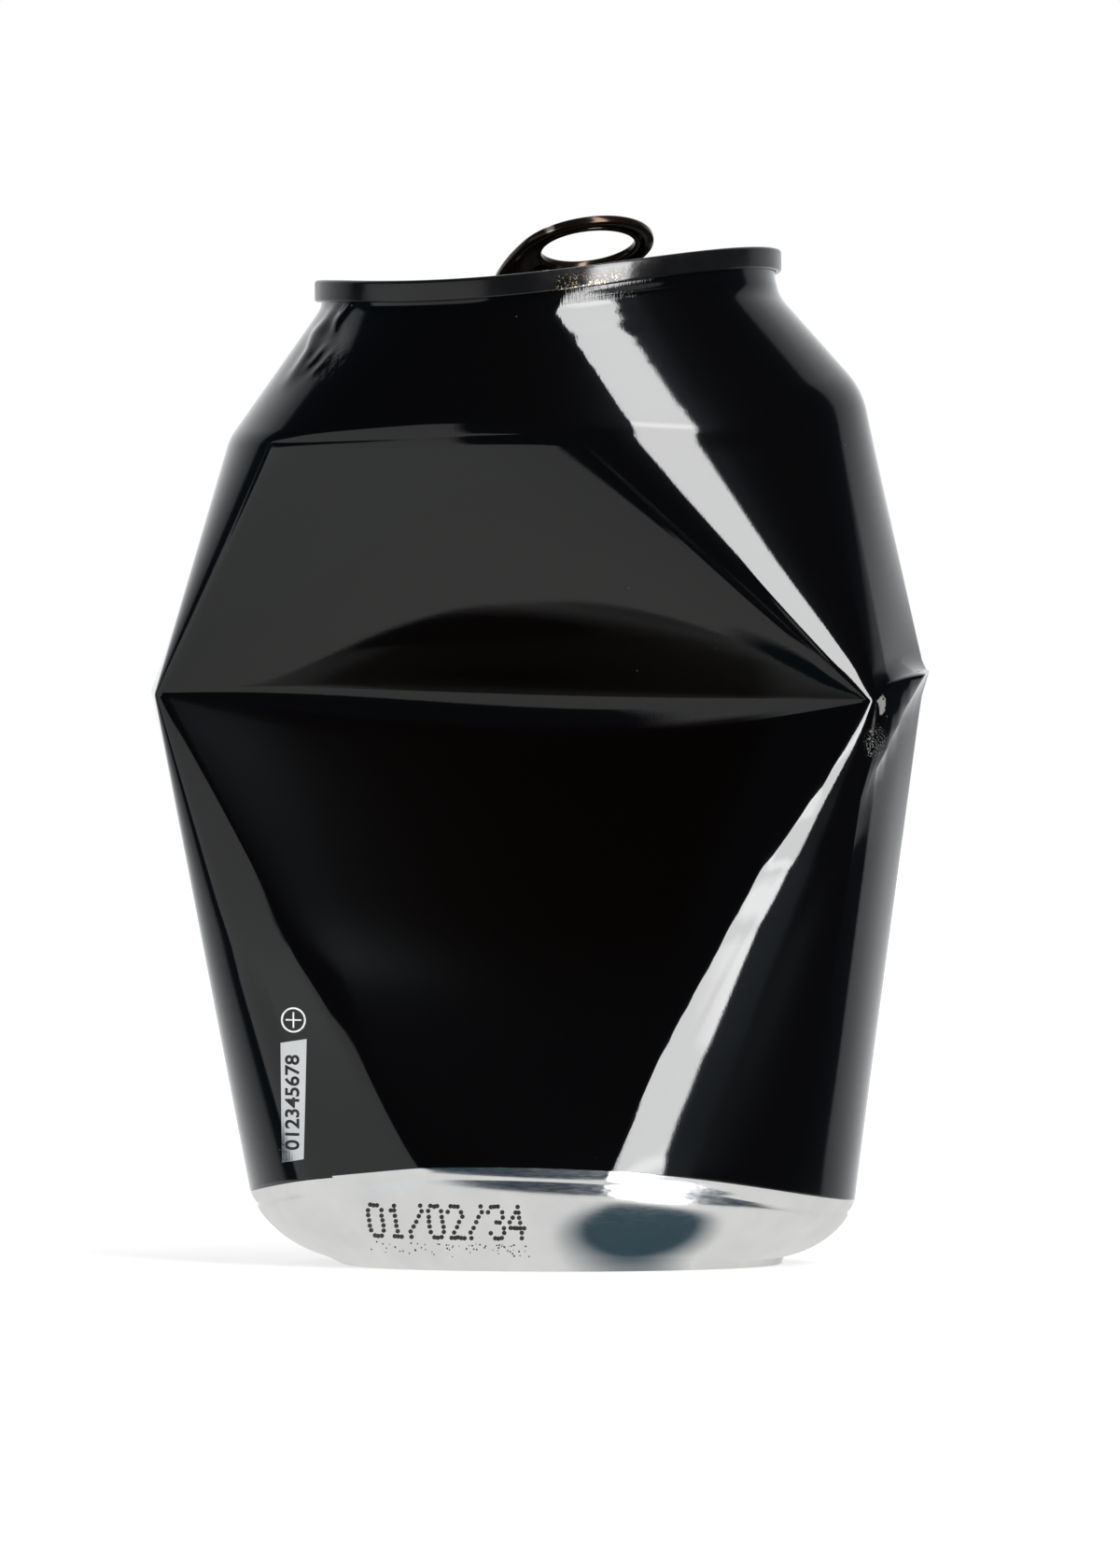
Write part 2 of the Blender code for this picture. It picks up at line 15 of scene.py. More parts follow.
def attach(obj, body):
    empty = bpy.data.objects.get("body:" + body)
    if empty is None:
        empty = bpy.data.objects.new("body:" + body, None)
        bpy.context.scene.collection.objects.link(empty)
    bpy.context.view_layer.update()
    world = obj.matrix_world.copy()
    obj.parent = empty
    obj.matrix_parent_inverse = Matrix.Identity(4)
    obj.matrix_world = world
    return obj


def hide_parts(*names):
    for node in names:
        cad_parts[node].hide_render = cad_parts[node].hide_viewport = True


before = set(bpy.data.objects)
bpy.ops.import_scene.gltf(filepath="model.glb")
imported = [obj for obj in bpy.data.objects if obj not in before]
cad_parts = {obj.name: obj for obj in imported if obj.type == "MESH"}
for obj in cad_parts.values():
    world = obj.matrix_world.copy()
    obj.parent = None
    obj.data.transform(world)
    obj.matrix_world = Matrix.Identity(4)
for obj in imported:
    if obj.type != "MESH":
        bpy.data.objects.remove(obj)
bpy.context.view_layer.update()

MM = 0.001
TAU = math.tau

# ---- Sheet thicknesses, and how far the body's inside may leave out its rows
WALL_SHEET = 0.15
LID_SHEET = 0.22
TAB_SHEET = 0.28
INNER_TOLERANCE = 0.09
INNER_STRIDE = 12

# ---- The fold's corners, as in the frame, about the stand ring's axis
FOLD_CORNERS = {
    "front_left": (-46.2, -9.2, 65.8),
    "front_right": (37.7, -11.3, 65.0),
    "right_kink": (38.9, -7.6, 67.6),
    "back_right": (41.8, 6.4, 68.5),
    "back_left": (-49.4, 6.8, 66.4),
}
FRONT_FOLD = ("front_left", "front_right")
BACK_FOLD = ("back_right", "back_left")
CORNER_RADIUS = 0.9
# How far the fold line bows inwards and sags in its middle
CREASE_BOW_FRONT = 4.5
CREASE_HOLLOW = 1.5
CREASE_BOW_BACK = -2.6
CREASE_SAG = 1.0
CREASE_DROP = 1.8
CREASE_DROP_POWER = 1.2
# The folded lip at the right, below the fold line: its tip, its foot, how the fold line climbs
# towards the tip, the heights between which its front facet fades into the wall, how far it reaches
# above the fold, how softly its facets meet and how far beyond the corner they begin and end to do so,
# and how many columns lead into it
LIP_TIP = (42.8, -1.8, 68.5)
LIP_FOOT = (39.41, -8.11, 61.55)
LIP_CLIMB = 3.2
LIP_FADE = (53.0, 62.0)
LIP_EDGE_REACH = 0.4
LIP_SOFTNESS = 0.8
LIP_LEAST_SOFTNESS = 0.02
LIP_SOFTENING = (2.5, 5.0)
LIP_LEAD = 14

# ---- Rings of the wall: centre x, half width, half depth, and the height at every 45 degrees
PRINT_RING = (-1.05, 35.0, 31.2, (11.3, 8.9, 6.6, 8.4, 10.2, 8.8, 7.4, 9.6))
SHOULDER_RING = (-1.7, 36.7, 29.4, (95.8, 97.6, 101.0, 99.8, 98.0, 96.5, 95.7, 95.2))
NECK_RING = (-1.7, 26.8, 26.6, (109.0, 111.9, 112.0, 111.3, 110.2, 109.2, 109.6, 107.9))

# ---- Stretches of the wall: corners, shoulder angles, print ring angles, columns; and the first stretch
# ---- of the lip and the first one after it
STRETCHES = (
    ("front_left", "front_right", (-50, 10), (-18, 20), 108),
    ("front_right", "front_right", (10, 62), (20, 60), 80),
    ("front_right", "right_kink", (62, 70), (60, 68), 14),
    ("right_kink", "back_right", (70, 98), (68, 98), 30),
    ("back_right", "back_right", (98, 152), (98, 158), 38),
    ("back_right", "back_left", (152, 204), (158, 204), 40),
    ("back_left", "back_left", (204, 262), (204, 262), 38),
    ("back_left", "front_left", (262, 280), (262, 280), 20),
    ("front_left", "front_left", (280, 310), (280, 342), 72),
)
LIP_STRETCHES = (2, 4)
PANEL_FLATNESS_TOP = 0.1
PANEL_FLATNESS_BOTTOM = 0.45
UPPER_PANEL_BELLY = 2.0
TAPER_BELLY = 0.9
NECK_SKEW = 0.5
PRINT_FACET = (313, 342)
# The shoulder's front left corner: how far it stands out and which way, its angle and its width
SHOULDER_CORNER = 1.6
SHOULDER_CORNER_HEADING = (-0.5, -0.87, 0.0)
SHOULDER_CORNER_ANGLE = -50
SHOULDER_CORNER_WIDTH = 26
# How many columns the shoulder and the print ring are smoothed over
SHOULDER_BLUR = 7.0
PRINT_BLUR = 5.0

# ---- The wall's key rings, from the heel up: how far each is rounded to either side, the rows between
# ---- them and round them, and the share of a place that a rounding takes up
PRINT_EDGE, FOLD, SHOULDER = 1, 2, 3
KEY_SETBACKS = (0.6, 1.2, 0.35, 1.0, 1.2, 0.5, 0.0)
FRONT_FOLD_SETBACK = 5.0
RIGHT_SHOULDER_SETBACK = 1.6
ROWS_BETWEEN = (9, 26, 30, 28, 6, 4)
ROWS_ROUND = (0, 9, 9, 10, 6, 4, 0)
CORNER_PLACES = 0.02

# ---- Base: the stand ring's profile, the heel, and the dome with its leg's width and drop
STAND_PROFILE = ((23.35, 0.7), (23.6, 0.25), (23.9, 0.0), (25.0, 0.0), (25.45, 0.1))
HEEL_RADIUS = 25.7
HEEL_CENTRE_X = -0.7
HEEL_HEIGHT = 0.7
DOME_RADIUS = 21.6
DOME_EDGE_HEIGHT = 4.4
DOME_TOP_HEIGHT = 9.6
DOME_LEG = (1.4, 2.6)
DOME_LEG_POWER = 1.4

# ---- Rim
RIM_CENTRE_X = -1.6
RIM_RADIUS = 27.0
RIM_HEIGHTS = (113.5, 116.2, 117.3, 116.3, 114.9, 114.0, 113.8, 113.1)
SEAM_DEPTH = 2.5
SEAM_GAP = 0.05
RIM_INNER_RADIUS = RIM_RADIUS - 3 * LID_SHEET - 2 * WALL_SHEET - 4 * SEAM_GAP
RISER_RADIUS = RIM_INNER_RADIUS + LID_SHEET + SEAM_GAP + WALL_SHEET
NECK_PLUG_DEPTH = 3.1
RISER_END_DEPTH = 0.7
FLAT_LID_RADIUS = 22.0

# ---- Lid
COUNTERSINK_RADII = (23.4, 22.5)
COUNTERSINK_DEPTH = 6.5
PANEL_RADIUS = 21.9
PANEL_DEPTH = 4.5
MOUTH_CENTRE = 11.8
MOUTH_HALF_LENGTH = 8.6
MOUTH_HALF_WIDTH = 11.0
COVER_HOOK_TOP = 0.9
LID_CORNER_RADII = (0.3, 0.34, 0.42, 0.4, 0.8, 0.7, 0.5, 0.5)
LID_COLUMNS = 240

# ---- Tab
TAB_HALF_WIDTH = 8.1
TAB_RING_CENTRE = 9.4
TAB_NOSE_END = -8.4
TAB_NOSE_HALF_WIDTH = 5.6
TAB_THICKNESS = 1.1
FINGER_HOLE_CENTRE = 10.2
FINGER_HOLE_HALF_LENGTH = 4.9
FINGER_HOLE_HALF_WIDTH = 5.6
TAB_EDGE_RADII = (0.5, 0.5)
TAB_COLUMNS = 160
TAB_HEADING = math.radians(-49)
TAB_LIFT = math.radians(21.5)
TAB_ROLL = math.radians(-7)
TAB_PIVOT = (-3.4, 0, 1.8)

# ---- The tear panel, the rivet and the tab's island
FLAP_LENGTH = 15.0
FLAP_ROOT = 0.9
FLAP_LEDGE = 0.6
FLAP_FOLD = math.radians(78)
FLAP_FOLD_RADIUS = 1.4
FLAP_HINGE_HALF_WIDTHS = (3.4, 3.7, 5.4)
FLAP_BROADENING = 1.4
RIVET_SHANK_RADIUS = 1.5
RIVET_HEAD_RADIUS = 2.5
RIVET_HEAD_THICKNESS = 0.4
RIVET_DISH_DEPTH = 0.18
RIVET_CORNER_RADII = (0.1, 0.2, 0.3, 0.25, 0.25)
RIVET_COLUMNS = 64
ISLAND_SHEET = 0.22
ISLAND_CLEARANCE = 0.1
ISLAND_RADIUS = 3.1
ISLAND_STATIONS = (0.0, -0.9, -1.6, -2.3)
ISLAND_DISC_END = -1.6
ISLAND_STRIP_HALF_WIDTH = 2.5
ISLAND_STRIP_BEND = -2.75
ISLAND_STRIP_STATIONS = (-4.3, -5.1)
ISLAND_SLOT_CENTRE = -0.3
ISLAND_SLOT_RADIUS = 3.4
ISLAND_SLOT_HEIGHTS = (0.0, 3.0)

# ---- Small features of the front, by their place across the view and their height: thin ridges
# ---- (points, how far they stand out, half width) and dents (place, half sizes, depth)
RIDGES = (
    (
        ((-25.7, 110.8), (-26.9, 108.8), (-28.2, 107.2), (-28.8, 105.2), (-30.2, 103.2), (-31.6, 101.6)),
        0.42,
        0.6,
    ),
    (((-24.0, 110.9), (-24.7, 109.9), (-25.8, 108.6), (-26.4, 107.2)), 0.28, 0.42),
    (((-27.0, 106.0), (-28.2, 104.2), (-29.6, 102.9)), 0.16, 0.3),
    (((-26.2, 105.2), (-27.4, 103.6), (-28.8, 102.2)), 0.12, 0.3),
    (((0.6, 106.3), (4.5, 106.8), (8.6, 107.2)), 0.07, 0.45),
    (((21.6, 79.5), (26.8, 73.9), (31.6, 68.8)), 0.08, 0.32),
    (((18.0, 47.4), (9.4, 39.2), (3.9, 29.6), (-3.6, 15.4)), 0.05, 0.6),
)
DENTS = (((-25.9, 106.8), (1.4, 2.0), 0.25),)
# The bulge beside the lower left crease: heights and places of its crest, how far it stands out,
# and how far it reaches to either side
BULGE_CREST = ((20.0, -21.4), (24.0, -22.0), (31.0, -24.4), (36.0, -29.0), (42.0, -33.6))
BULGE_HEIGHT = 1.9
BULGE_MIDDLE = (31.0, 7.5)
BULGE_REACH = (9.0, 32.0)

# ---- The bands of the front that are bent to catch the strip light: height, and the band's left
# ---- and right edges across the view
LIGHT_BANDS = (
    (
        (66.0, 34.6, 35.8),
        (81.4, 20.2, 24.2),
        (94.0, 8.8, 15.6),
        (96.0, 8.1, 15.5),
        (109.0, -1.0, 7.1),
        (111.6, 1.0, 5.6),
    ),
    (
        (8.0, 4.0, 10.0),
        (25.3, 11.4, 16.7),
        (38.2, 18.6, 21.9),
        (47.7, 23.5, 27.0),
        (48.6, 24.9, 27.4),
        (55.5, 29.5, 31.0),
        (62.0, 34.0, 34.5),
    ),
)
# How high a band's lower and upper ends fade, how far the bend runs before and beyond the band and how
# far it may take to die out, how sharp the band's edges are, and how far inside the outline the bend
# has died out
LIGHT_BAND_FADE = 3.0
LIGHT_BAND_TOP_FADE = 0.6
LIGHT_BAND_LEAD = 20.0
LIGHT_BAND_HOLD = 4.0
LIGHT_BAND_REACH = 14.0
LIGHT_BAND_EDGE = 0.03
OUTLINE_MARGIN = 1.5

# ---- Wear: round places as a centre, and the radii between which the wear fades, and how far noise
# ---- shifts the edges of the scuffs and chips
SCUFFS = (((38.0, -10.4, 60.2), 1.2, 2.3), ((40.9, -1.0, 63.2), 0.6, 2.0))
CHIPS = (((38.6, -10.0, 64.8), 0.7, 0.85), ((38.4, -10.1, 63.9), 0.35, 0.55))
RUBBED = (((37.9, -10.6, 62.7), 0.9, 1.7),)
RAGGED_SHIFT_M = (0.0016, 0.0016, 0.0016)
CRUMPLED = (((-25.0, -21.7, 104.9), 1.0, 4.5),)
BROWNED_TIPS = (((-48.6, 0.0, 66.2), 1.0, 3.2), ((42.8, -1.8, 68.3), 0.3, 1.2))
# Spots of bright metal on the tab, painted highlights where its edges glint: across the view and up, and a
# radius
TAB_GLINTS = (((-1.4, 119.2), 0.45), ((10.7, 117.5), 0.45), ((-0.3, 114.7), 0.4))
# The worn stretch of the seam's lower edge, across the view
SEAM_SPECKS = (-0.8, 7.6)
# Where the scratches under the rim fade: at their left and right across the view, and below the rim
SCRATCHED_ACROSS = ((-2.2, -0.2), (9.6, 12.6))
SCRATCHED_DEPTH = (3.7, 4.6)
# Where the front's lower panel starts to be dulled as painted shade, its coat turned down so that it
# stays dark: inwards from its sides, as a share, and upwards, as a place in key rings
SHADE_DULL_MIDDLE = (0.35, 0.6)
SHADE_DULL_START = (1.3, 1.6)

# ---- Print: places are across the view and up
PRINT_LIFT = 0.02
RAY_START = 80
DATE_TEXT = "01/02/34"
DATE_CORNER = (-22.2, 7.5)
DATE_PITCH = (0.383, 0.6)
DATE_LEAN = 0.078
DATE_COLUMNS = 6
DATE_JITTER = 0.05
DOT_RADIUS = 0.27
DOT_SIDES = 8
DIGIT_ROWS = {
    "0": ("01110", "10001", "10001", "10001", "10001", "10001", "01110"),
    "1": ("00100", "01100", "00100", "00100", "00100", "00100", "01110"),
    "2": ("01110", "10001", "00001", "00010", "00100", "01000", "11111"),
    "3": ("01110", "10001", "00001", "00110", "00001", "10001", "01110"),
    "4": ("00010", "00110", "01010", "10010", "11111", "00010", "00010"),
    "/": ("00001", "00001", "00010", "00100", "01000", "10000", "10000"),
}
SPRAY_DOTS = 70
SPRAY_BOX = ((-22.0, -3.5), (1.6, 3.2))
SPRAY_RADII = (0.05, 0.11)
LABEL_CORNERS = ((-32.05, 12.1), (-29.5, 12.6), (-29.15, 26.35), (-32.2, 25.85))
LABEL_GRID = (8, 30)
LABEL_TEXT = "012345678"
LABEL_TEXT_START = (-30.0, 13.6)
LABEL_TEXT_SIZE = (10.9, 1.692)
LABEL_TEXT_BOLDNESS = 0.018
LABEL_TEXT_EDGE = 0.12
MARK_CENTRE = (-30.7, 28.5)
MARK_RADII = (1.25, 1.45)
MARK_ARM = 0.9
MARK_STROKE = 0.17
MARK_SIDES = 36
# Where the lacquer ends, as a place in key rings, and where that edge steps, across the view
PRINT_EDGE_PLACE = 1.0072
PRINT_STEP_ACROSS = -26.2

# ---- The studio that glossy surfaces see, by azimuth (0 towards the camera, growing to its right) and
# ---- elevation, in degrees. A window is its two edges and how soft they are; a sloping edge or strength
# ---- is its slope against the azimuth and its value at azimuth 0.
STRIP_LIGHT_AZIMUTHS = (21, 41)
STRIP_LIGHT_SOFTNESS = 0.6
STRIP_LIGHT_HEIGHT = (-58, 83, 2.0)
STRIP_LIGHT_STRENGTH = 15.0
STRIP_HOT_HEIGHT = (3, 13, 3.0)
STRIP_HOT_EXTRA = 4.0
CARD_WIDTH = (-101, -31, 1.5)
CARD_TOP = (-0.67, -12.8)
CARD_TOP_LIMIT = 13.0
CARD_TOP_SOFTNESS = 3.0
CARD_STRENGTH = 0.7
WALL_GAP = (-116, 118, 2.0)
WALL_HEIGHT = (-28, 95, 6.0)
WALL_STRENGTH = (0.0117, -1.11)
FAR_TABLE_EDGE = (-0.5, -50.0)
FAR_TABLE_LIMITS = (-45.0, -30.0)
FAR_TABLE_SOFTNESS = 2.0
FAR_TABLE_STRENGTH = 0.68
DARK_ROOM_COLOUR = (0.1, 0.26, 0.42, 1)
DARK_ROOM_STRENGTH = 0.1

# ---- The table: as it is, and as glossy surfaces see it near the can, with a painted shadow: a dark
# ---- patch that stands for the can's shade on it (its place across and before the can, and its half sizes)
TABLE_HALF = 12000.0
TABLE_COLOUR = (0.4, 0.4, 0.4, 1)
TABLE_GLOW = 0.61
NEAR_TABLE_RADIUS = 78.0
NEAR_TABLE_EDGE = 2.0
NEAR_TABLE_COLOUR = (0.71, 0.71, 0.7, 1)
# A painted shadow: the dark patch that glossy surfaces see on the table before the can's base
PAINTED_SHADOW_PATCH = ((12.0, 33.0), (12.5, 11.0))
PAINTED_SHADOW_EDGE = (1.15, 0.75)
PAINTED_SHADOW_COLOUR = (0.02, 0.05, 0.07, 1)

# ---- The camera, turned so that it sees the can's right side a little, and the unit steps of its view:
# ---- to its right, and from the can towards it
CAMERA_TURN = math.radians(8)
ASIDE = np.array([math.cos(CAMERA_TURN), math.sin(CAMERA_TURN), 0.0])
TOWARD = np.array([math.sin(CAMERA_TURN), -math.cos(CAMERA_TURN), 0.0])
CAMERA_DISTANCE_M = 1.5
CAMERA_HEIGHT = 55.5
CAMERA_ASIDE = -0.2
VIEW_HEIGHT = 181.4
SENSOR_MM = 36.0


def round_angles(count):
    """Angles spread evenly round the circle."""
    return np.arange(count) * TAU / count


def can_axis():
    """Where the stand ring's axis meets the floor, from the ring's vertices in the frame."""
    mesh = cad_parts["can_body"].data
    points = np.array([vertex.co for vertex in mesh.vertices])
    ring = points[points[:, 2] < 1e-6]
    middle = (ring.min(axis=0) + ring.max(axis=0)) / 2
    return np.array([middle[0], middle[1], 0.0]) / MM


AXIS = can_axis()


def smooth(value, low=0, high=1):
    """A soft step from 0 to 1 as a value goes from low to high."""
    share = np.clip((value - low) / (high - low), 0, 1)
    return share * share * (3 - 2 * share)


def bell(distance, width):
    """1 at no distance, falling off softly over a width."""
    return np.exp(-((distance / width) ** 2))


def hump(share):
    """0 at shares 0 and 1, and 1 halfway."""
    return 4 * share * (1 - share)


def curve(start, corner, end, share):
    """The place at a share of the curve from start to end that bends towards a corner."""
    first = start + (corner - start) * share
    second = corner + (end - corner) * share
    return first + (second - first) * share


def wave(values, angle):
    """The smooth closed curve through values spread evenly round the circle, read at angles."""
    count = len(values)
    total = np.full(np.shape(angle), sum(values) / count)
    for order in range(1, count // 2 + 1):
        weight = (1 if 2 * order == count else 2) / count
        for step, value in enumerate(values):
            total = total + weight * value * np.cos(order * (angle - TAU * step / count))
    return total


def circle(centre_x, radius, angle, height):
    """Points of a level circle."""
    flat = np.zeros(np.shape(angle))
    return np.stack([centre_x + radius * np.sin(angle), -radius * np.cos(angle), flat + height], axis=-1)


def ring_points(ring, angle):
    """Points of one of the wall's rings: an oval whose height varies round it."""
    centre_x, half_width, half_depth, heights = ring
    x = centre_x + half_width * np.sin(angle)
    return np.stack([x, -half_depth * np.cos(angle), wave(heights, angle)], axis=-1)


def flattened(ring, span, share, flatness):
    """Points of a stretch of a ring, drawn towards its chord."""
    start, end = np.radians(span)
    arc = ring_points(ring, start + (end - start) * share)
    first, last = ring_points(ring, start), ring_points(ring, end)
    chord = first + (last - first) * share[:, None]
    return arc + (chord - arc) * flatness


def fold_points(first, last, previous, following, share):
    """Points of the fold line from one corner to another, or round a corner between its neighbours."""
    start, end = np.array(FOLD_CORNERS[first]), np.array(FOLD_CORNERS[last])
    share = share[:, None]

    def towards(origin, name):
        step = np.array(FOLD_CORNERS[name]) - origin
        return step / np.linalg.norm(step) * CORNER_RADIUS

    if first == last:
        return curve(start + towards(start, previous), start, start + towards(start, following), share)
    begin = start + towards(start, last) * (previous == first)
    finish = end + towards(end, first) * (following == last)
    points = begin + (finish - begin) * share
    bow = hump(share[:, 0])
    if (first, last) == FRONT_FOLD:
        points[:, 1] += CREASE_BOW_FRONT * bow + CREASE_HOLLOW * bow**2
        points[:, 2] -= CREASE_SAG * bow + CREASE_DROP * bow**CREASE_DROP_POWER
    if (first, last) == BACK_FOLD:
        points[:, 1] += CREASE_BOW_BACK * bow
    return points


def blur_round(values, width):
    """Smooths values along the closed direction with a bell of that many columns."""
    reach = int(3 * width)
    weights = bell(np.arange(-reach, reach + 1), width)
    weights /= weights.sum()
    return sum(w * np.roll(values, k, axis=0) for k, w in zip(range(-reach, reach + 1), weights))


def wall_columns():
    """The columns of the wall: rim angles, and points on the print ring, the fold and the shoulder, and
    how far each column lies inside a flat panel, inside the front one, and in the lip."""
    stretches = []
    for index, (first, last, top_span, bottom_span, count) in enumerate(STRETCHES):
        before, after = STRETCHES[index - 1], STRETCHES[(index + 1) % len(STRETCHES)]
        previous, following = before[0], after[1]
        if first != last:
            previous = first if before[0] == before[1] else None
            following = last if after[0] == after[1] else None
        share = np.arange(count) / count
        is_panel = (first, last) in (FRONT_FOLD, BACK_FOLD)
        stretch = {
            "angle": np.radians(top_span[0] + (top_span[1] - top_span[0]) * share),
            "print_angle": np.radians(bottom_span[0] + (bottom_span[1] - bottom_span[0]) * share),
            "print": flattened(PRINT_RING, bottom_span, share, PANEL_FLATNESS_BOTTOM * is_panel),
            "shoulder": flattened(SHOULDER_RING, top_span, share, PANEL_FLATNESS_TOP * is_panel),
            "fold": fold_points(first, last, previous, following, share),
            "panel": hump(share) ** 0.5 * is_panel,
            "front": hump(share) * ((first, last) == FRONT_FOLD),
        }
        stretches.append(stretch)
    columns = {key: np.concatenate([stretch[key] for stretch in stretches]) for key in stretches[0]}
    columns["shoulder"] = blur_round(with_shoulder_corner(columns), SHOULDER_BLUR)
    columns["print"] = blur_round(with_print_facet(columns), PRINT_BLUR)
    columns["lip"] = lip_columns(columns)
    return columns


def with_shoulder_corner(columns):
    """The shoulder's ring, drawn out to a soft corner at its front left."""
    degrees = np.degrees(columns["angle"])
    from_corner = degrees - np.where(degrees > 180, SHOULDER_CORNER_ANGLE + 360, SHOULDER_CORNER_ANGLE)
    corner = SHOULDER_CORNER * bell(from_corner, SHOULDER_CORNER_WIDTH)
    return columns["shoulder"] + np.outer(corner, SHOULDER_CORNER_HEADING)


def with_print_facet(columns):
    """The print ring, cut straight along its front left facet."""
    low, high = PRINT_FACET
    start, end = (ring_points(PRINT_RING, math.radians(edge)) for edge in PRINT_FACET)
    turned = np.degrees(columns["print_angle"])
    share = np.clip((turned - low) / (high - low), 0, 1)[:, None]
    inside = (turned >= low) & (turned <= high)
    return np.where(inside[:, None], start + (end - start) * share, columns["print"])


def lip_columns(columns):
    """Lifts the fold line towards the lip's tip, and gives how far each column belongs to the lip."""
    counts = [stretch[-1] for stretch in STRETCHES]
    start = sum(counts[:LIP_STRETCHES[0]])
    end = sum(counts[:LIP_STRETCHES[1]])
    fold = columns["fold"]
    across = seen_across(fold[start:end])
    out = (across - across[0]) / (seen_across(np.array(LIP_TIP)) - across[0])
    climb = (1 - np.exp(-LIP_CLIMB * np.clip(out, 0, 1))) / (1 - math.exp(-LIP_CLIMB))
    fold[start:end, 2] = fold[start, 2] + (LIP_TIP[2] - fold[start, 2]) * climb
    belongs = np.zeros(len(fold))
    belongs[start:end] = 1
    belongs[start - LIP_LEAD : start] = smooth(np.arange(LIP_LEAD) / LIP_LEAD)
    belongs[end : end + LIP_LEAD] = smooth(1 - np.arange(1, LIP_LEAD + 1) / (LIP_LEAD + 1))
    return belongs


def rim_plane():
    """The mean height of the rim, and its slopes along x and y."""
    count = len(RIM_HEIGHTS)
    angles = round_angles(count)
    heights = np.array(RIM_HEIGHTS)
    sine = (heights * np.sin(angles)).sum() * 2 / count
    cosine = (heights * np.cos(angles)).sum() * 2 / count
    return heights.mean(), sine / RIM_RADIUS, -cosine / RIM_RADIUS


def rim_height(x, y):
    """The height of the rim's top at places: a tilted plane, warped only near the seam."""
    mean, slope_x, slope_y = rim_plane()
    from_centre = x - RIM_CENTRE_X
    radius = np.hypot(from_centre, y)
    angle = np.arctan2(from_centre, -y)
    flat = mean + slope_x * from_centre + slope_y * y
    edge = mean + RIM_RADIUS * (slope_x * np.sin(angle) - slope_y * np.cos(angle))
    share = smooth(radius, FLAT_LID_RADIUS, RIM_INNER_RADIUS)
    return flat + (wave(RIM_HEIGHTS, angle) - edge) * share


def rim_ring(angle, radius, depth):
    """Points of a ring that runs a depth below the rim's top."""
    points = circle(RIM_CENTRE_X, radius, angle, 0)
    points[:, 2] = rim_height(points[:, 0], points[:, 1]) - depth
    return points


def unit(vectors):
    """Vectors at length 1, along the last axis."""
    return vectors / np.maximum(np.linalg.norm(vectors, axis=-1, keepdims=True), 1e-9)


def normals_of(grid):
    """Unit normals of a grid whose rows are closed loops."""
    along = np.roll(grid, -1, axis=1) - np.roll(grid, 1, axis=1)
    return unit(np.cross(unit(along), unit(np.gradient(grid, axis=0))))


def setback_share(setback, run):
    """A setback as a share of the run beside it, which keeps a tenth of itself straight."""
    length = np.linalg.norm(run, axis=1, keepdims=True)
    return np.minimum(setback, length * 0.45) / length


def rounded_rows(keys, setbacks, samples, corner_samples):
    """Rows through key rings: straight between them, and round each inner ring a curve that
    starts and ends a setback away. Returns the rows, and each row's place counted in keys."""
    rows, places = [], []
    last = len(keys) - 2
    for k in range(last + 1):
        start, end = keys[k], keys[k + 1]
        run = end - start
        low, high = (setback_share(setback, run) for setback in setbacks[k : k + 2])
        shares = np.linspace(0, 1, samples[k])
        for share in shares[:-1] if k == last else shares:
            at = low + (1 - high - low) * share
            rows.append(start + run * at)
            places.append(k + float(np.mean(at)))
        if k < last:
            following = keys[k + 2] - end
            leave = end + following * setback_share(setbacks[k + 1], following)
            for share in np.linspace(0, 1, corner_samples[k + 1] + 2)[1:-1]:
                rows.append(curve(end - run * high, end, leave, share))
                places.append(k + 1 + (share - 0.5) * CORNER_PLACES)
    rows.append(keys[-1])
    places.append(len(keys) - 1.0)
    return np.array(rows), np.array(places)


def mesh_object(name, points, faces, *materials, smooth_faces=True):
    """A mesh object from points in millimetres."""
    mesh = bpy.data.meshes.new(name)
    mesh.from_pydata((np.asarray(points) * MM).tolist(), [], faces)
    mesh.update()
    if smooth_faces:
        mesh.shade_smooth()
    for look in materials:
        mesh.materials.append(look)
    piece = bpy.data.objects.new(name, mesh)
    bpy.context.scene.collection.objects.link(piece)
    return piece


def grid_faces(rows, columns, offset=0, flip=False):
    """Quads between neighbouring rows of closed loops."""
    faces = []
    for r in range(rows - 1):
        for c in range(columns):
            d = (c + 1) % columns
            quad = (r * columns + c, r * columns + d, (r + 1) * columns + d, (r + 1) * columns + c)
            quad = quad[::-1] if flip else quad
            faces.append(tuple(i + offset for i in quad))
    return faces


def capped_faces(rows, columns):
    """Faces of a closed body: a skin of closed loops, with a cap on the first and on the last."""
    last = (rows - 1) * columns
    caps = [tuple(reversed(range(columns))), tuple(range(last, last + columns))]
    return grid_faces(rows, columns) + caps


def sheet_mesh(outer, inner, cap_first=False):
    """Points and faces of a closed sheet between an outer grid and an inner one; both may differ
    in their number of rows, but not of columns. The last rows are joined; the first are joined or
    capped."""
    columns = outer.shape[1]
    points = np.concatenate([outer.reshape(-1, 3), inner.reshape(-1, 3)])
    offset = outer.shape[0] * columns
    faces = grid_faces(outer.shape[0], columns)
    faces += grid_faces(inner.shape[0], columns, offset, flip=True)
    outer_last = offset - columns
    inner_last = len(points) - columns
    pairs = [(c, (c + 1) % columns) for c in range(columns)]
    if cap_first:
        faces += [tuple(reversed(range(columns))), tuple(range(offset, offset + columns))]
    else:
        faces += [(d, c, offset + c, offset + d) for c, d in pairs]
    faces += [(outer_last + c, outer_last + d, inner_last + d, inner_last + c) for c, d in pairs]
    return points, faces


def neck_points(angle):
    """The neck's ring, drawn out a little towards its front left and its back right."""
    points = ring_points(NECK_RING, angle)
    outward = np.stack([np.sin(angle), -np.cos(angle), 0 * angle], axis=-1)
    return points + outward * (NECK_SKEW * np.cos(2 * angle + math.pi / 2))[:, None]


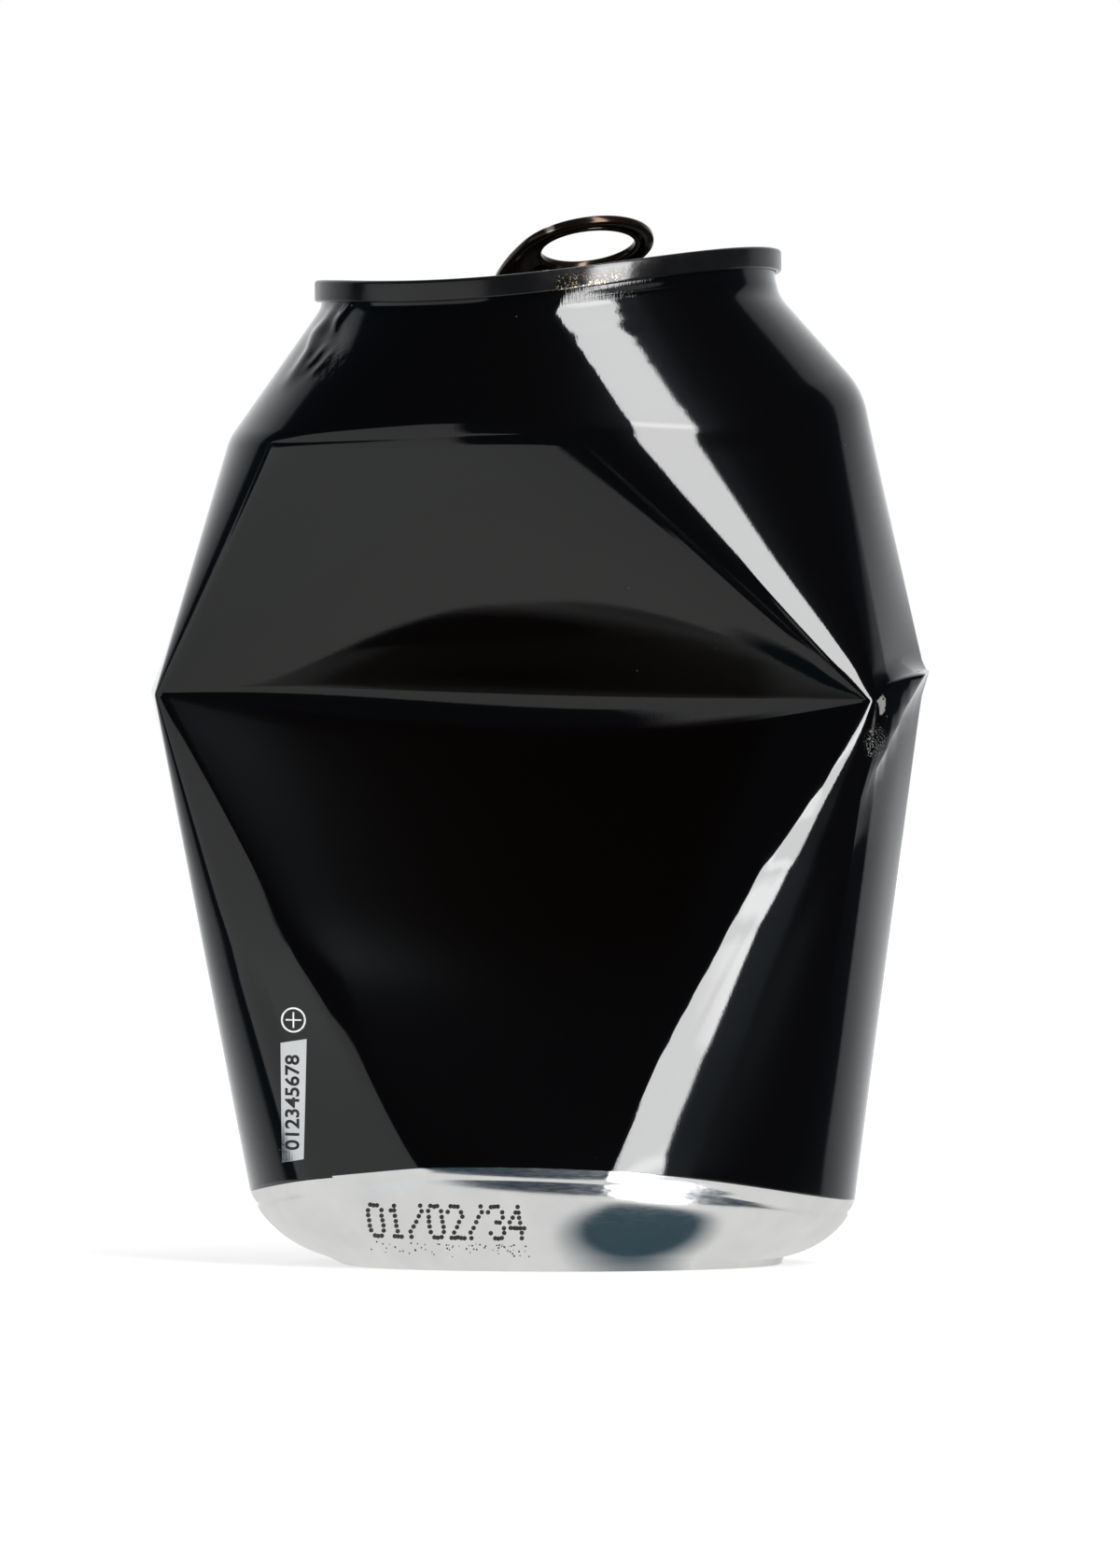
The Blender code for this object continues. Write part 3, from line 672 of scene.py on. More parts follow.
def body_keys(columns):
    """The key rings of the wall, from the heel up to the seam."""
    angle = columns["angle"]
    return [
        circle(HEEL_CENTRE_X, HEEL_RADIUS, angle, HEEL_HEIGHT),
        columns["print"],
        columns["fold"],
        columns["shoulder"],
        neck_points(angle),
        rim_ring(angle, RISER_RADIUS, NECK_PLUG_DEPTH),
        rim_ring(angle, RISER_RADIUS, RISER_END_DEPTH),
    ]


def base_rows(angle):
    """The dome, its leg and the stand ring, from the middle outwards."""
    fall = DOME_TOP_HEIGHT - DOME_EDGE_HEIGHT
    radii = np.linspace(1.0, DOME_RADIUS, 12)
    profile = [(radius, DOME_TOP_HEIGHT - fall * (radius / DOME_RADIUS) ** 2) for radius in radii]
    for share in np.linspace(0, 1, 8)[1:]:
        bend = share * math.pi / 2
        drop = DOME_LEG[1] * (1 - math.cos(bend)) ** DOME_LEG_POWER
        profile.append((DOME_RADIUS + DOME_LEG[0] * math.sin(bend), DOME_EDGE_HEIGHT - drop))
    profile += STAND_PROFILE
    return np.array([circle(0, radius, angle, height) for radius, height in profile])


def body_grid():
    """The outer face of the whole can body as rows of points, and where each row lies."""
    columns = wall_columns()
    right = 0.5 + 0.5 * np.sin(columns["angle"])
    setbacks = np.repeat(np.array(KEY_SETBACKS)[:, None, None], len(right), axis=1)
    setbacks[FOLD] += FRONT_FOLD_SETBACK * columns["front"][:, None]
    setbacks[SHOULDER] += RIGHT_SHOULDER_SETBACK * right[:, None] ** 2
    rows, places = rounded_rows(body_keys(columns), setbacks, ROWS_BETWEEN, ROWS_ROUND)
    rows = belly(rows, places, columns)
    rows = folded_lip(rows, places, columns)
    base = base_rows(columns["angle"])
    grid = np.concatenate([base, rows])
    places = np.concatenate([np.full(len(base), -1.0), places])
    grid = with_light_bands(grid, columns["angle"] < math.pi)
    return with_small_features(grid), places, columns


def lip_room(points):
    """How far points lie inside the lip's two facets, along x."""
    corner, tip, foot = (np.array(point) for point in (FOLD_CORNERS["front_right"], LIP_TIP, LIP_FOOT))
    back = np.array(FOLD_CORNERS["back_right"])
    front_normal = np.cross(tip - corner, foot - corner)
    under_normal = np.cross(back - tip, foot - tip)
    front = (corner - points) @ front_normal / front_normal[0]
    under = (tip - points) @ under_normal / under_normal[0]
    fade = smooth(points[:, 2], *LIP_FADE)
    before_foot = np.maximum(seen_across(foot) - seen_across(points), 0)
    under = under + 0.5 * before_foot
    beyond_corner = seen_across(points) - seen_across(corner)
    soft = LIP_SOFTNESS * smooth(beyond_corner, *LIP_SOFTENING) + LIP_LEAST_SOFTNESS
    lesser = (front + under - np.hypot(front - under, soft * 0.5)) / 2
    room = (lesser + np.hypot(lesser, soft)) / 2
    return room * smooth((lesser + 2 * soft) / (2 * soft)) * fade


def folded_lip(rows, places, columns):
    """Pushes the wall out below the fold line's right end, to two facets that meet below the lip."""
    rows = rows.copy()
    fold = columns["fold"]
    at_fold = lip_room(fold)
    for row, place in zip(rows, places):
        above = np.maximum(row[:, 2] - fold[:, 2], 0)
        room = lip_room(row) if place <= FOLD else at_fold * bell(above, LIP_EDGE_REACH)
        row[:, 0] += room * columns["lip"] * (place > PRINT_EDGE)
    return rows


def seen_across(points):
    """How far points lie to the right of the can's axis in the front view."""
    return points @ ASIDE


def seen_near(points):
    """How far points lie before the can's axis in the front view."""
    return points @ TOWARD


def near_path(across, height, path):
    """Distance from places to a path across the front, and how far along it they are (0 to 1)."""
    nearest = np.full(across.shape, 1e9)
    along = np.zeros(across.shape)
    for k, (start, end) in enumerate(zip(path, path[1:])):
        run = np.subtract(end, start)
        share = ((across - start[0]) * run[0] + (height - start[1]) * run[1]) / (run @ run)
        share = np.clip(share, 0, 1)
        distance = np.hypot(across - start[0] - run[0] * share, height - start[1] - run[1] * share)
        along = np.where(distance < nearest, (k + share) / (len(path) - 1), along)
        nearest = np.minimum(distance, nearest)
    return nearest, along


def with_light_bands(grid, right_side):
    """The grid, bent a little row by row so that the strip light shows within the light bands."""
    normal = normals_of(grid)
    facing = seen_near(normal)
    slope = seen_across(normal) / np.maximum(facing, 0.05)
    rise = normal[..., 2] / np.maximum(facing, 0.05)
    room = np.maximum(1 - rise**2, 0.3)
    across, height = seen_across(grid), grid[..., 2]
    step = np.diff(across, axis=1, prepend=across[:, :1])
    # The slopes across that mirror the strip light's two edges
    low, high = (
        (np.sqrt(1 + tangent**2 * room) - 1) / tangent
        for tangent in (math.tan(math.radians(azimuth)) for azimuth in STRIP_LIGHT_AZIMUTHS)
    )
    push = np.zeros(across.shape)
    for band in LIGHT_BANDS:
        heights, lefts, rights = np.array(band).T
        left, right = np.interp(height, heights, lefts), np.interp(height, heights, rights)
        wanted = low + (high - low) * (across - left) / (right - left)
        darker = np.minimum(slope, np.maximum(wanted, low - LIGHT_BAND_EDGE))
        steeper = np.maximum(slope, np.minimum(wanted, high + LIGHT_BAND_EDGE))
        wanted = np.where(across < left, darker, np.where(across > right, steeper, wanted))
        weight = smooth((height - heights[0]) / LIGHT_BAND_FADE)
        weight = weight * smooth((heights[-1] - height) / LIGHT_BAND_TOP_FADE)
        weight = weight * smooth(facing * 4) * smooth((0.9 - np.abs(rise)) * 5)
        weight = weight * right_side * (np.abs(across - left) < LIGHT_BAND_LEAD)
        bend = np.cumsum(weight * (slope - wanted) * step, axis=1)
        beyond = across - right - LIGHT_BAND_HOLD
        room_left = across.max(axis=1, keepdims=True) - OUTLINE_MARGIN - right - LIGHT_BAND_HOLD
        fade = 1 - smooth(beyond / np.clip(room_left, 3, LIGHT_BAND_REACH))
        push += bend * fade * right_side * smooth(facing * 4)
    return grid + TOWARD * push[..., None]


def with_small_features(grid):
    """The grid with the front's small ridges and dents."""
    normal = normals_of(grid)
    facing = seen_near(normal)
    across, height = seen_across(grid), grid[..., 2]
    push = np.zeros(across.shape)
    for path, stands, half_width in RIDGES:
        distance, along = near_path(across, height, path)
        push += stands * bell(distance, half_width) * np.sin(np.pi * np.clip(along, 0.03, 0.97)) ** 0.6
    for place, half_sizes, depth in DENTS:
        distance = np.hypot((across - place[0]) / half_sizes[0], (height - place[1]) / half_sizes[1])
        push -= depth * bell(distance, 1.0)
    from_crest = across - np.interp(height, *np.array(BULGE_CREST).T)
    tent = 1 + np.where(from_crest < 0, from_crest / BULGE_REACH[0], -from_crest / BULGE_REACH[1])
    push += BULGE_HEIGHT * np.clip(tent, 0, 1) * bell(height - BULGE_MIDDLE[0], BULGE_MIDDLE[1])
    return grid + normal * (push * smooth(facing * 5))[..., None]


def belly(rows, places, columns):
    """Bellies the taper and the upper panels out between their key rings."""
    rows = rows.copy()
    for row, place in zip(rows, places):
        if 0 <= place <= PRINT_EDGE:
            out = unit(row * [1, 1, 0])
            row += (out - [0, 0, 1]) * hump(place) * TAPER_BELLY
        if FOLD <= place <= SHOULDER:
            bulge = hump(place - FOLD) * UPPER_PANEL_BELLY * columns["panel"]
            row[:, 1] += np.where(row[:, 1] < 0, -bulge, bulge)
    return rows


def sparse_rows(grid, tolerance):
    """The fewest rows whose straight joins stay within a tolerance of every row between them."""
    keep = [0]
    while keep[-1] < len(grid) - 1:
        start = keep[-1]
        end = start + 1
        while end + 1 < len(grid) and end - start < INNER_STRIDE:
            run = grid[end + 1] - grid[start]
            off = grid[start + 1 : end + 1] - grid[start]
            length = np.maximum((run * run).sum(axis=1, keepdims=True), 1e-9)
            along = (off * run).sum(axis=2, keepdims=True) / length
            if np.linalg.norm(off - along * run, axis=2).max() > tolerance:
                break
            end += 1
        keep.append(end)
    return np.array(keep)


def make_body():
    """The can's body, and its outer face as a surface to lay the print on."""
    grid, places, columns = body_grid()
    inner = (grid - normals_of(grid) * WALL_SHEET)[sparse_rows(grid, INNER_TOLERANCE)]
    points, faces = sheet_mesh(grid, inner, cap_first=True)
    looks = material(black_lacquer), material(bare_aluminium)
    body = mesh_object("body_shell", points + AXIS, faces, *looks)
    paint_body(body, grid, places, columns)
    add_scratches(body, points)
    paint_shade_on_lower_panel(body, places, columns)
    surface = BVHTree.FromPolygons(grid.reshape(-1, 3).tolist(), grid_faces(*grid.shape[:2]))
    return body, surface


def paint_body(body, grid, places, columns):
    """Lacquers the outer wall down to the print edge, one row lower at its left, and leaves the
    base and the inside bare."""
    rows, count = grid.shape[:2]
    left = (seen_across(columns["print"]) < PRINT_STEP_ACROSS) & (columns["print"][:, 1] < 0)
    lacquered = np.searchsorted(places, PRINT_EDGE_PLACE) - left
    bare = np.ones(len(body.data.polygons), dtype=np.int32)
    for r in range(rows - 1):
        bare[r * count : (r + 1) * count] = r < lacquered
    body.data.polygons.foreach_set("material_index", bare)


def paint_shade_on_lower_panel(body, places, columns):
    """Marks painted shade on the front's lower panel: in its middle, up to the fold, its coat is turned down
    so that it reflects little and stays dark.
    """
    across = smooth(columns["front"], *SHADE_DULL_MIDDLE)
    up = smooth(places, *SHADE_DULL_START) * (places < FOLD)
    # painted shade: a mask that turns the lacquer's coat down so that the lower panel stays dark
    rubbed_and_painted_shade = up[:, None] * across
    inside = np.zeros(len(body.data.vertices) - rubbed_and_painted_shade.size)
    set_attribute(body, "rubbed_and_painted_shade", np.concatenate([rubbed_and_painted_shade.ravel(), inside]))


def add_scratches(body, points):
    """Marks on the body's points how far each lies in the scratched stretch under the rim."""
    across = seen_across(points)
    depth = rim_height(points[:, 0], points[:, 1]) - points[:, 2]
    left, right = SCRATCHED_ACROSS
    scratched = (1 - smooth(depth, *SCRATCHED_DEPTH)) * smooth(across, *left) * (1 - smooth(across, *right))
    front = points[:, 1] < 4
    set_attribute(body, "scratched", scratched * front)


def set_attribute(piece, name, values):
    """Stores a number on each point of a piece, for its material to read."""
    layer = piece.data.attributes.new(name, "FLOAT", "POINT")
    layer.data.foreach_set("value", values.astype(np.float32))


def material(looks):
    """A material named after a function, which gives its shader's inputs from its node tree and the
    object's own coordinates."""
    made = bpy.data.materials.new(looks.__name__)
    made.use_nodes = True
    tree = made.node_tree
    place = add_node(tree, "ShaderNodeTexCoord").outputs["Object"]
    connect(tree, tree.nodes["Principled BSDF"].inputs, looks(tree, place))
    return made


def connect(tree, sockets, inputs):
    """Links each input that is another node's output, and sets each that is a plain value."""
    for key, value in inputs.items():
        if isinstance(value, bpy.types.NodeSocket):
            tree.links.new(value, sockets[key])
        else:
            sockets[key].default_value = value


def add_node(tree, kind, inputs=None, **settings):
    """A new node with its settings and its inputs, which are values or other nodes' outputs."""
    node = tree.nodes.new(kind)
    for key, value in settings.items():
        setattr(node, key, value)
    connect(tree, node.inputs, inputs or {})
    return node


def attribute(tree, name):
    """A number stored on a piece's points."""
    return add_node(tree, "ShaderNodeAttribute", attribute_name=name).outputs["Fac"]


def stepped(tree, value, low, high, start=0.0, end=1.0):
    """A value's rise from a start to an end as it passes between two thresholds."""
    inputs = {"Value": value, "From Min": low, "From Max": high, "To Min": start, "To Max": end}
    return add_node(tree, "ShaderNodeMapRange", inputs).outputs["Result"]


def calculated(tree, operation, *values, clamp=False):
    """The result of one calculation with numbers."""
    inputs = dict(enumerate(values))
    return add_node(tree, "ShaderNodeMath", inputs, operation=operation, use_clamp=clamp).outputs[0]


def vector_math(tree, operation, output, *values):
    """One output of a calculation with vectors."""
    inputs = dict(enumerate(values))
    return add_node(tree, "ShaderNodeVectorMath", inputs, operation=operation).outputs[output]


def times(tree, first, second):
    """Two numbers multiplied."""
    return calculated(tree, "MULTIPLY", first, second)


def largest(tree, first, *others):
    """The largest of several numbers."""
    for other in others:
        first = calculated(tree, "MAXIMUM", first, other)
    return first


def mixed(tree, share, first, second):
    """A colour or a number between two, by a share."""
    kind = "Color" if isinstance(second, tuple) else "Float"
    node = add_node(tree, "ShaderNodeMix", data_type="RGBA" if kind == "Color" else "FLOAT")
    sockets = {socket.identifier: socket for socket in [*node.inputs, *node.outputs]}
    connect(tree, sockets, {"Factor_Float": share, f"A_{kind}": first, f"B_{kind}": second})
    return sockets[f"Result_{kind}"]


def noise_at(tree, place, scale, detail=2.0, stretch=(1, 1, 1), turned=(0, 0, 0)):
    """A random pattern between 0 and 1, at places that may be stretched and turned."""
    mapping = add_node(tree, "ShaderNodeMapping", {"Vector": place, "Scale": stretch, "Rotation": turned})
    inputs = {"Vector": mapping.outputs[0], "Scale": scale, "Detail": detail}
    return add_node(tree, "ShaderNodeTexNoise", inputs).outputs["Fac"]


def bumped(tree, height, strength, distance, normal=None):
    """A normal tilted as if the surface had a height."""
    inputs = {"Height": height, "Strength": strength, "Distance": distance}
    if normal is not None:
        inputs["Normal"] = normal
    return add_node(tree, "ShaderNodeBump", inputs).outputs["Normal"]


def specks(tree, place, scale, size, share):
    """Small round specks, in a share of the cells of a random pattern."""
    cells = add_node(tree, "ShaderNodeTexVoronoi", {"Vector": place, "Scale": scale})
    round_speck = stepped(tree, cells.outputs["Distance"], size, size * 0.6)
    tone = add_node(tree, "ShaderNodeSeparateColor", {"Color": cells.outputs["Color"]}).outputs[0]
    return times(tree, round_speck, stepped(tree, tone, 1 - share, 1 - share + 0.01))


def near_places(tree, place, spots):
    """1 within round places, fading to 0 outside them."""
    shares = []
    for centre, inner, outer in spots:
        distance = vector_math(tree, "DISTANCE", "Value", place, tuple((np.array(centre) + AXIS) * MM))
        shares.append(stepped(tree, distance, outer * MM, inner * MM))
    return largest(tree, *shares)


def black_lacquer(tree, place):
    """Deep black gloss lacquer: a sharp clear coat over a faint haze, with grain, dust, scratches
    under the rim, scuffs and a chip beside the right end of the crease; its coat is also turned down on
    the lower panel as painted shade."""
    raggedness = calculated(tree, "SUBTRACT", noise_at(tree, place, 900.0, 3.0), 0.5)
    shift = {0: RAGGED_SHIFT_M, "Scale": raggedness}
    shift = add_node(tree, "ShaderNodeVectorMath", shift, operation="SCALE").outputs[0]
    ragged_place = vector_math(tree, "ADD", 0, place, shift)
    scuffed = near_places(tree, ragged_place, SCUFFS)
    chipped = near_places(tree, ragged_place, CHIPS)
    scuffs = times(tree, scuffed, specks(tree, place, 5600.0, 0.42, 0.65))
    dust = specks(tree, place, 420.0, 0.045, 0.12)

    normal = bumped(tree, noise_at(tree, place, 4200.0, 1.0), 0.6, 0.0000035)
    streaks = noise_at(tree, place, 1.0, 3.0, stretch=(5200.0, 5200.0, 160.0))
    normal = bumped(tree, streaks, attribute(tree, "scratched"), 0.00003, normal)
    crumples = noise_at(tree, place, 900.0, 4.0)
    normal = bumped(tree, crumples, near_places(tree, place, CRUMPLED), 0.00022, normal)
    normal = bumped(tree, scuffs, 0.5, 0.00003, normal)

    colour = mixed(tree, dust, (0.0009, 0.0005, 0.0003, 1), (0.06, 0.06, 0.058, 1))
    colour = mixed(tree, scuffs, colour, (0.1, 0.1, 0.094, 1))
    colour = mixed(tree, near_places(tree, place, BROWNED_TIPS), colour, (0.012, 0.007, 0.005, 1))
    colour = mixed(tree, chipped, colour, (0.15, 0.143, 0.135, 1))
    rubbed_and_painted_shade = near_places(tree, place, RUBBED)
    # dulled coat: real wear from scuffs, chips, dust and the rubbed spot, and painted shade on the lower
    # panel
    wear_and_shade_dulling = largest(tree, scuffs, chipped, dust, rubbed_and_painted_shade, attribute(tree, "rubbed_and_painted_shade"))
    return {
        "Base Color": colour,
        "Roughness": 0.26,
        "Specular IOR Level": 0.035,
        "Specular Tint": (0.7, 0.86, 1, 1),
        "Coat Weight": mixed(tree, wear_and_shade_dulling, 1.0, 0.1),
        "Coat Roughness": 0.05,
        "Coat IOR": 1.5,
        "Normal": normal,
        "Coat Normal": normal,
    }


def bare_aluminium(tree, place):
    """Bare drawn aluminium, with fine slanting drawing lines and soft grey clouds."""
    clouds = stepped(tree, noise_at(tree, place, 160.0, 3.0), 0.35, 0.7)
    lines = noise_at(tree, place, 1.0, 2.0, stretch=(900.0, 900.0, 6000.0), turned=(0.5, 0.5, 0))
    return {
        "Base Color": mixed(tree, clouds, (0.84, 0.845, 0.85, 1), (0.93, 0.93, 0.92, 1)),
        "Metallic": 1.0,
        "Roughness": stepped(tree, lines, 0.3, 0.7, 0.17, 0.25),
        "Normal": bumped(tree, lines, 0.25, 0.000004),
    }


def lid_lacquer(tree, place):
    """The lid's black lacquer, a little softer than the wall's, worn to the metal in specks."""
    specked = stepped(tree, noise_at(tree, place, 4200.0, 2.0), 0.58, 0.64)
    wear_and_glints = times(tree, attribute(tree, "wear_and_glints"), specked)
    smears = noise_at(tree, place, 260.0, 4.0)
    return {
        "Base Color": mixed(tree, wear_and_glints, (0.0032, 0.003, 0.003, 1), (0.5, 0.38, 0.22, 1)),
        "Metallic": wear_and_glints,
        "Roughness": stepped(tree, smears, 0.3, 0.75, 0.1, 0.3),
        "IOR": 1.5,
        "Normal": bumped(tree, noise_at(tree, place, 2500.0, 3.0), 0.4, 0.00001),
    }


def tab_lacquer(tree, place):
    """The tab's dark brown-black lacquer, with spots of bright metal as painted highlights where its edges
    glint.
    """
    clouds = stepped(tree, noise_at(tree, place, 500.0, 3.0), 0.35, 0.7)
    colour = mixed(tree, clouds, (0.03, 0.019, 0.013, 1), (0.05, 0.033, 0.022, 1))
    return {
        # painted highlights: spots of bright metal where the tab's edges glint
        "Base Color": mixed(tree, attribute(tree, "wear_and_glints"), colour, (0.85, 0.8, 0.72, 1)),
        "Metallic": 0.9,
        "Roughness": 0.17,
        "Normal": bumped(tree, noise_at(tree, place, 1800.0, 3.0), 0.5, 0.00001),
    }


def sealing_compound(tree, place):
    """The grey rubbery compound inside the seam."""
    cloud = noise_at(tree, place, 700.0, 4.0)
    return {
        "Base Color": mixed(tree, cloud, (0.2, 0.2, 0.18, 1), (0.32, 0.32, 0.29, 1)),
        "Roughness": 0.75,
        "Normal": bumped(tree, cloud, 0.6, 0.00005),
    }


def profile_path(points, radii, steps):
    """A path of (radius, depth) points with its corners rounded."""
    path = [np.array(points[0], float)]
    for before, corner, after, radius in zip(points, points[1:], points[2:], radii):
        before, corner, after = (np.array(p, float) for p in (before, corner, after))
        back, ahead = before - corner, after - corner
        reach = min(radius, np.linalg.norm(back) * 0.49, np.linalg.norm(ahead) * 0.49)
        enter = corner + back / np.linalg.norm(back) * reach
        leave = corner + ahead / np.linalg.norm(ahead) * reach
        path += [curve(enter, corner, leave, share) for share in np.linspace(0, 1, steps)]
    path.append(np.array(points[-1], float))
    return path


def mouth_outline(angle):
    """Points of the mouth's edge on rays from the mouth's middle, in the heading frame."""
    reach = 1 / np.hypot(np.cos(angle) / MOUTH_HALF_LENGTH, np.sin(angle) / MOUTH_HALF_WIDTH)
    return np.stack([-MOUTH_CENTRE + reach * np.cos(angle), reach * np.sin(angle)], axis=-1)


def turn(points, angle):
    """Flat points turned about the origin."""
    c, s = math.cos(angle), math.sin(angle)
    return points @ np.array([[c, s], [-s, c]])


def make_lid():
    """The can's end: seam curl, countersink and panel, in to the mouth's edge."""
    cover_hook = RIM_RADIUS - 2 * LID_SHEET - WALL_SHEET - 2 * SEAM_GAP
    corners = [
        (cover_hook, COVER_HOOK_TOP),
        (cover_hook, SEAM_DEPTH),
        (RIM_RADIUS, SEAM_DEPTH - 0.05),
        (RIM_RADIUS, 0),
        (RIM_INNER_RADIUS, 0),
        (RIM_INNER_RADIUS - 0.2, SEAM_DEPTH),
        (COUNTERSINK_RADII[0], COUNTERSINK_DEPTH),
        (COUNTERSINK_RADII[1], COUNTERSINK_DEPTH),
        (PANEL_RADIUS, PANEL_DEPTH),
        (PANEL_RADIUS - 1.5, PANEL_DEPTH),
    ]
    angle = round_angles(LID_COLUMNS)
    rows = [rim_ring(angle, radius, depth) for radius, depth in profile_path(corners, LID_CORNER_RADII, 7)]
    edge = rows[-1]
    rim_centre = np.array([RIM_CENTRE_X, 0])
    from_mouth = edge[:, :2] - turn(np.array([-MOUTH_CENTRE, 0.0]), TAB_HEADING) - rim_centre
    bearing = np.arctan2(from_mouth[:, 1], from_mouth[:, 0]) - TAB_HEADING
    mouth = turn(mouth_outline(bearing), TAB_HEADING) + rim_centre
    for share in np.linspace(0, 1, 30)[1:]:
        flat = edge[:, :2] + (mouth - edge[:, :2]) * share
        height = rim_height(flat[:, 0], flat[:, 1]) - PANEL_DEPTH
        rows.append(np.column_stack([flat, height]))
    grid = np.array(rows)
    points, faces = sheet_mesh(grid, grid - normals_of(grid) * LID_SHEET)
    lid = mesh_object("lid_shell", points + AXIS, faces, material(lid_lacquer))
    add_seam_specks(lid, points)
    return lid


def add_seam_specks(lid, points):
    """Marks where the seam's lower edge is worn: a short stretch at the front."""
    across = seen_across(points)
    depth = rim_height(points[:, 0], points[:, 1]) - points[:, 2]
    low_edge = smooth(depth, SEAM_DEPTH - 0.6, SEAM_DEPTH - 0.2) * (points[:, 1] < -20)
    outside = np.hypot(points[:, 0] - RIM_CENTRE_X, points[:, 1]) > RIM_RADIUS - 0.6
    stretch = (across > SEAM_SPECKS[0]) & (across < SEAM_SPECKS[1])
    set_attribute(lid, "wear_and_glints", low_edge * outside * stretch)


def lid_matrix():
    """The place of the lid's panel, tilted as the rim is, turned so that x runs along the tab."""
    mean, slope_x, slope_y = rim_plane()
    up = Vector((-slope_x, -slope_y, 1)).normalized()
    along = Vector((1, 0, slope_x)).normalized()
    across = up.cross(along)
    tilt = Matrix((along, across, up)).transposed().to_4x4()
    place = Vector((RIM_CENTRE_X + AXIS[0], AXIS[1], mean - PANEL_DEPTH))
    return Matrix.Translation(place) @ tilt @ Matrix.Rotation(TAB_HEADING, 4, "Z")


def transformed(points, matrix):
    """Points moved by a 4 x 4 matrix."""
    m = np.array(matrix)
    return points @ m[:3, :3].T + m[:3, 3]


def oval(angle, half_length, half_width, height=0.0, centre=0.0):
    """Points of a level oval, shifted along x."""
    x = centre + half_length * np.cos(angle)
    return np.stack([x, half_width * np.sin(angle), 0 * x + height], axis=-1)


def tab_outline(angle):
    """The tab's outer edge: a round ring end, and sides that draw in to a blunt nose."""
    forward, across = np.cos(angle), np.sin(angle)
    back = np.minimum(forward, 0)
    x = TAB_RING_CENTRE + np.where(forward >= 0, TAB_HALF_WIDTH, TAB_RING_CENTRE - TAB_NOSE_END) * forward
    half = TAB_HALF_WIDTH + (TAB_NOSE_HALF_WIDTH - TAB_HALF_WIDTH) * back * back
    power = np.where(forward >= 0, 1.0, 0.6)
    y = half * np.sign(across) * np.abs(across) ** power
    return np.stack([x, y, 0 * x], axis=-1)


def tab_matrix():
    """The lifted tab's place in the lid's frame: turned up about its bend, just beyond the rivet."""
    pivot = Matrix.Translation(Vector(TAB_PIVOT))
    lift = Matrix.Rotation(-TAB_LIFT, 4, "Y") @ Matrix.Rotation(TAB_ROLL, 4, "X")
    return pivot @ lift @ Matrix.Translation(Vector((-TAB_PIVOT[0], 0, 0)))


def strip_mesh(path, half_widths, thickness, across_steps=10):
    """A closed bent strip of sheet along a path of (along, height), in its own frame."""
    path = np.array(path, float)
    along = unit(np.gradient(path, axis=0))
    normal = np.stack([-along[:, 1], along[:, 0]], axis=1) * thickness / 2
    sides = np.linspace(-1, 1, across_steps + 1)
    loops = []
    for point, up, half in zip(path, normal, half_widths):
        top = [(point[0] + up[0], half * side, point[1] + up[1]) for side in sides]
        bottom = [(point[0] - up[0], half * side, point[1] - up[1]) for side in sides[::-1]]
        loops.append(top + bottom)
    grid = np.array(loops)
    return grid.reshape(-1, 3), capped_faces(*grid.shape[:2])


def make_flap():
    """The tear panel, bent down at its hinge beside the mouth and left hanging inside."""
    height = -LID_SHEET / 2
    path = [(-FLAP_ROOT, height), (0.0, height), (FLAP_LEDGE, height)]
    for turned in FLAP_FOLD * np.linspace(0, 1, 11)[1:]:
        drop = FLAP_FOLD_RADIUS * (1 - math.cos(turned))
        path.append((FLAP_LEDGE + FLAP_FOLD_RADIUS * math.sin(turned), height - drop))
    end = path[-1]
    bend_stations = (0, 2, len(path) - 1)
    half_widths = list(np.interp(np.arange(len(path)), bend_stations, FLAP_HINGE_HALF_WIDTHS))
    for share in np.linspace(0, 1, 21)[1:]:
        length = FLAP_LENGTH * share
        path.append((end[0] + length * math.cos(FLAP_FOLD), end[1] - length * math.sin(FLAP_FOLD)))
        broadening = FLAP_BROADENING * math.sin(min(share * 2, 1) * math.pi / 2)
        rounding = math.sqrt(max(1 - max(share * 2 - 1, 0) ** 2.2, 0.06))
        half_widths.append((FLAP_HINGE_HALF_WIDTHS[-1] + broadening) * rounding)
    points, faces = strip_mesh(path, half_widths, LID_SHEET * 0.9)
    hinge = Matrix.Translation(Vector((-MOUTH_CENTRE, MOUTH_HALF_WIDTH, 0)))
    place = lid_matrix() @ hinge @ Matrix.Rotation(math.radians(-90), 4, "Z")
    return mesh_object("tear_panel_shell", transformed(points, place), faces, material(lid_lacquer))


def make_rivet():
    """The rivet drawn up from the panel's own metal, its dished head over the tab's island."""
    island_top = 2 * ISLAND_CLEARANCE + ISLAND_SHEET
    top = island_top + RIVET_HEAD_THICKNESS
    corners = [
        (RIVET_SHANK_RADIUS, -LID_SHEET / 2),
        (RIVET_SHANK_RADIUS, island_top),
        (RIVET_HEAD_RADIUS, island_top),
        (RIVET_HEAD_RADIUS, top),
        (RIVET_HEAD_RADIUS * 0.55, top),
        (RIVET_HEAD_RADIUS * 0.4, top - RIVET_DISH_DEPTH),
        (0.1, top - RIVET_DISH_DEPTH),
    ]
    angle = round_angles(RIVET_COLUMNS)
    path = profile_path(corners, RIVET_CORNER_RADII, 6)
    grid = np.array([oval(angle, radius, radius, height) for radius, height in path])
    points = transformed(grid.reshape(-1, 3), lid_matrix())
    return mesh_object("rivet_shell", points, capped_faces(*grid.shape[:2]), material(lid_lacquer))


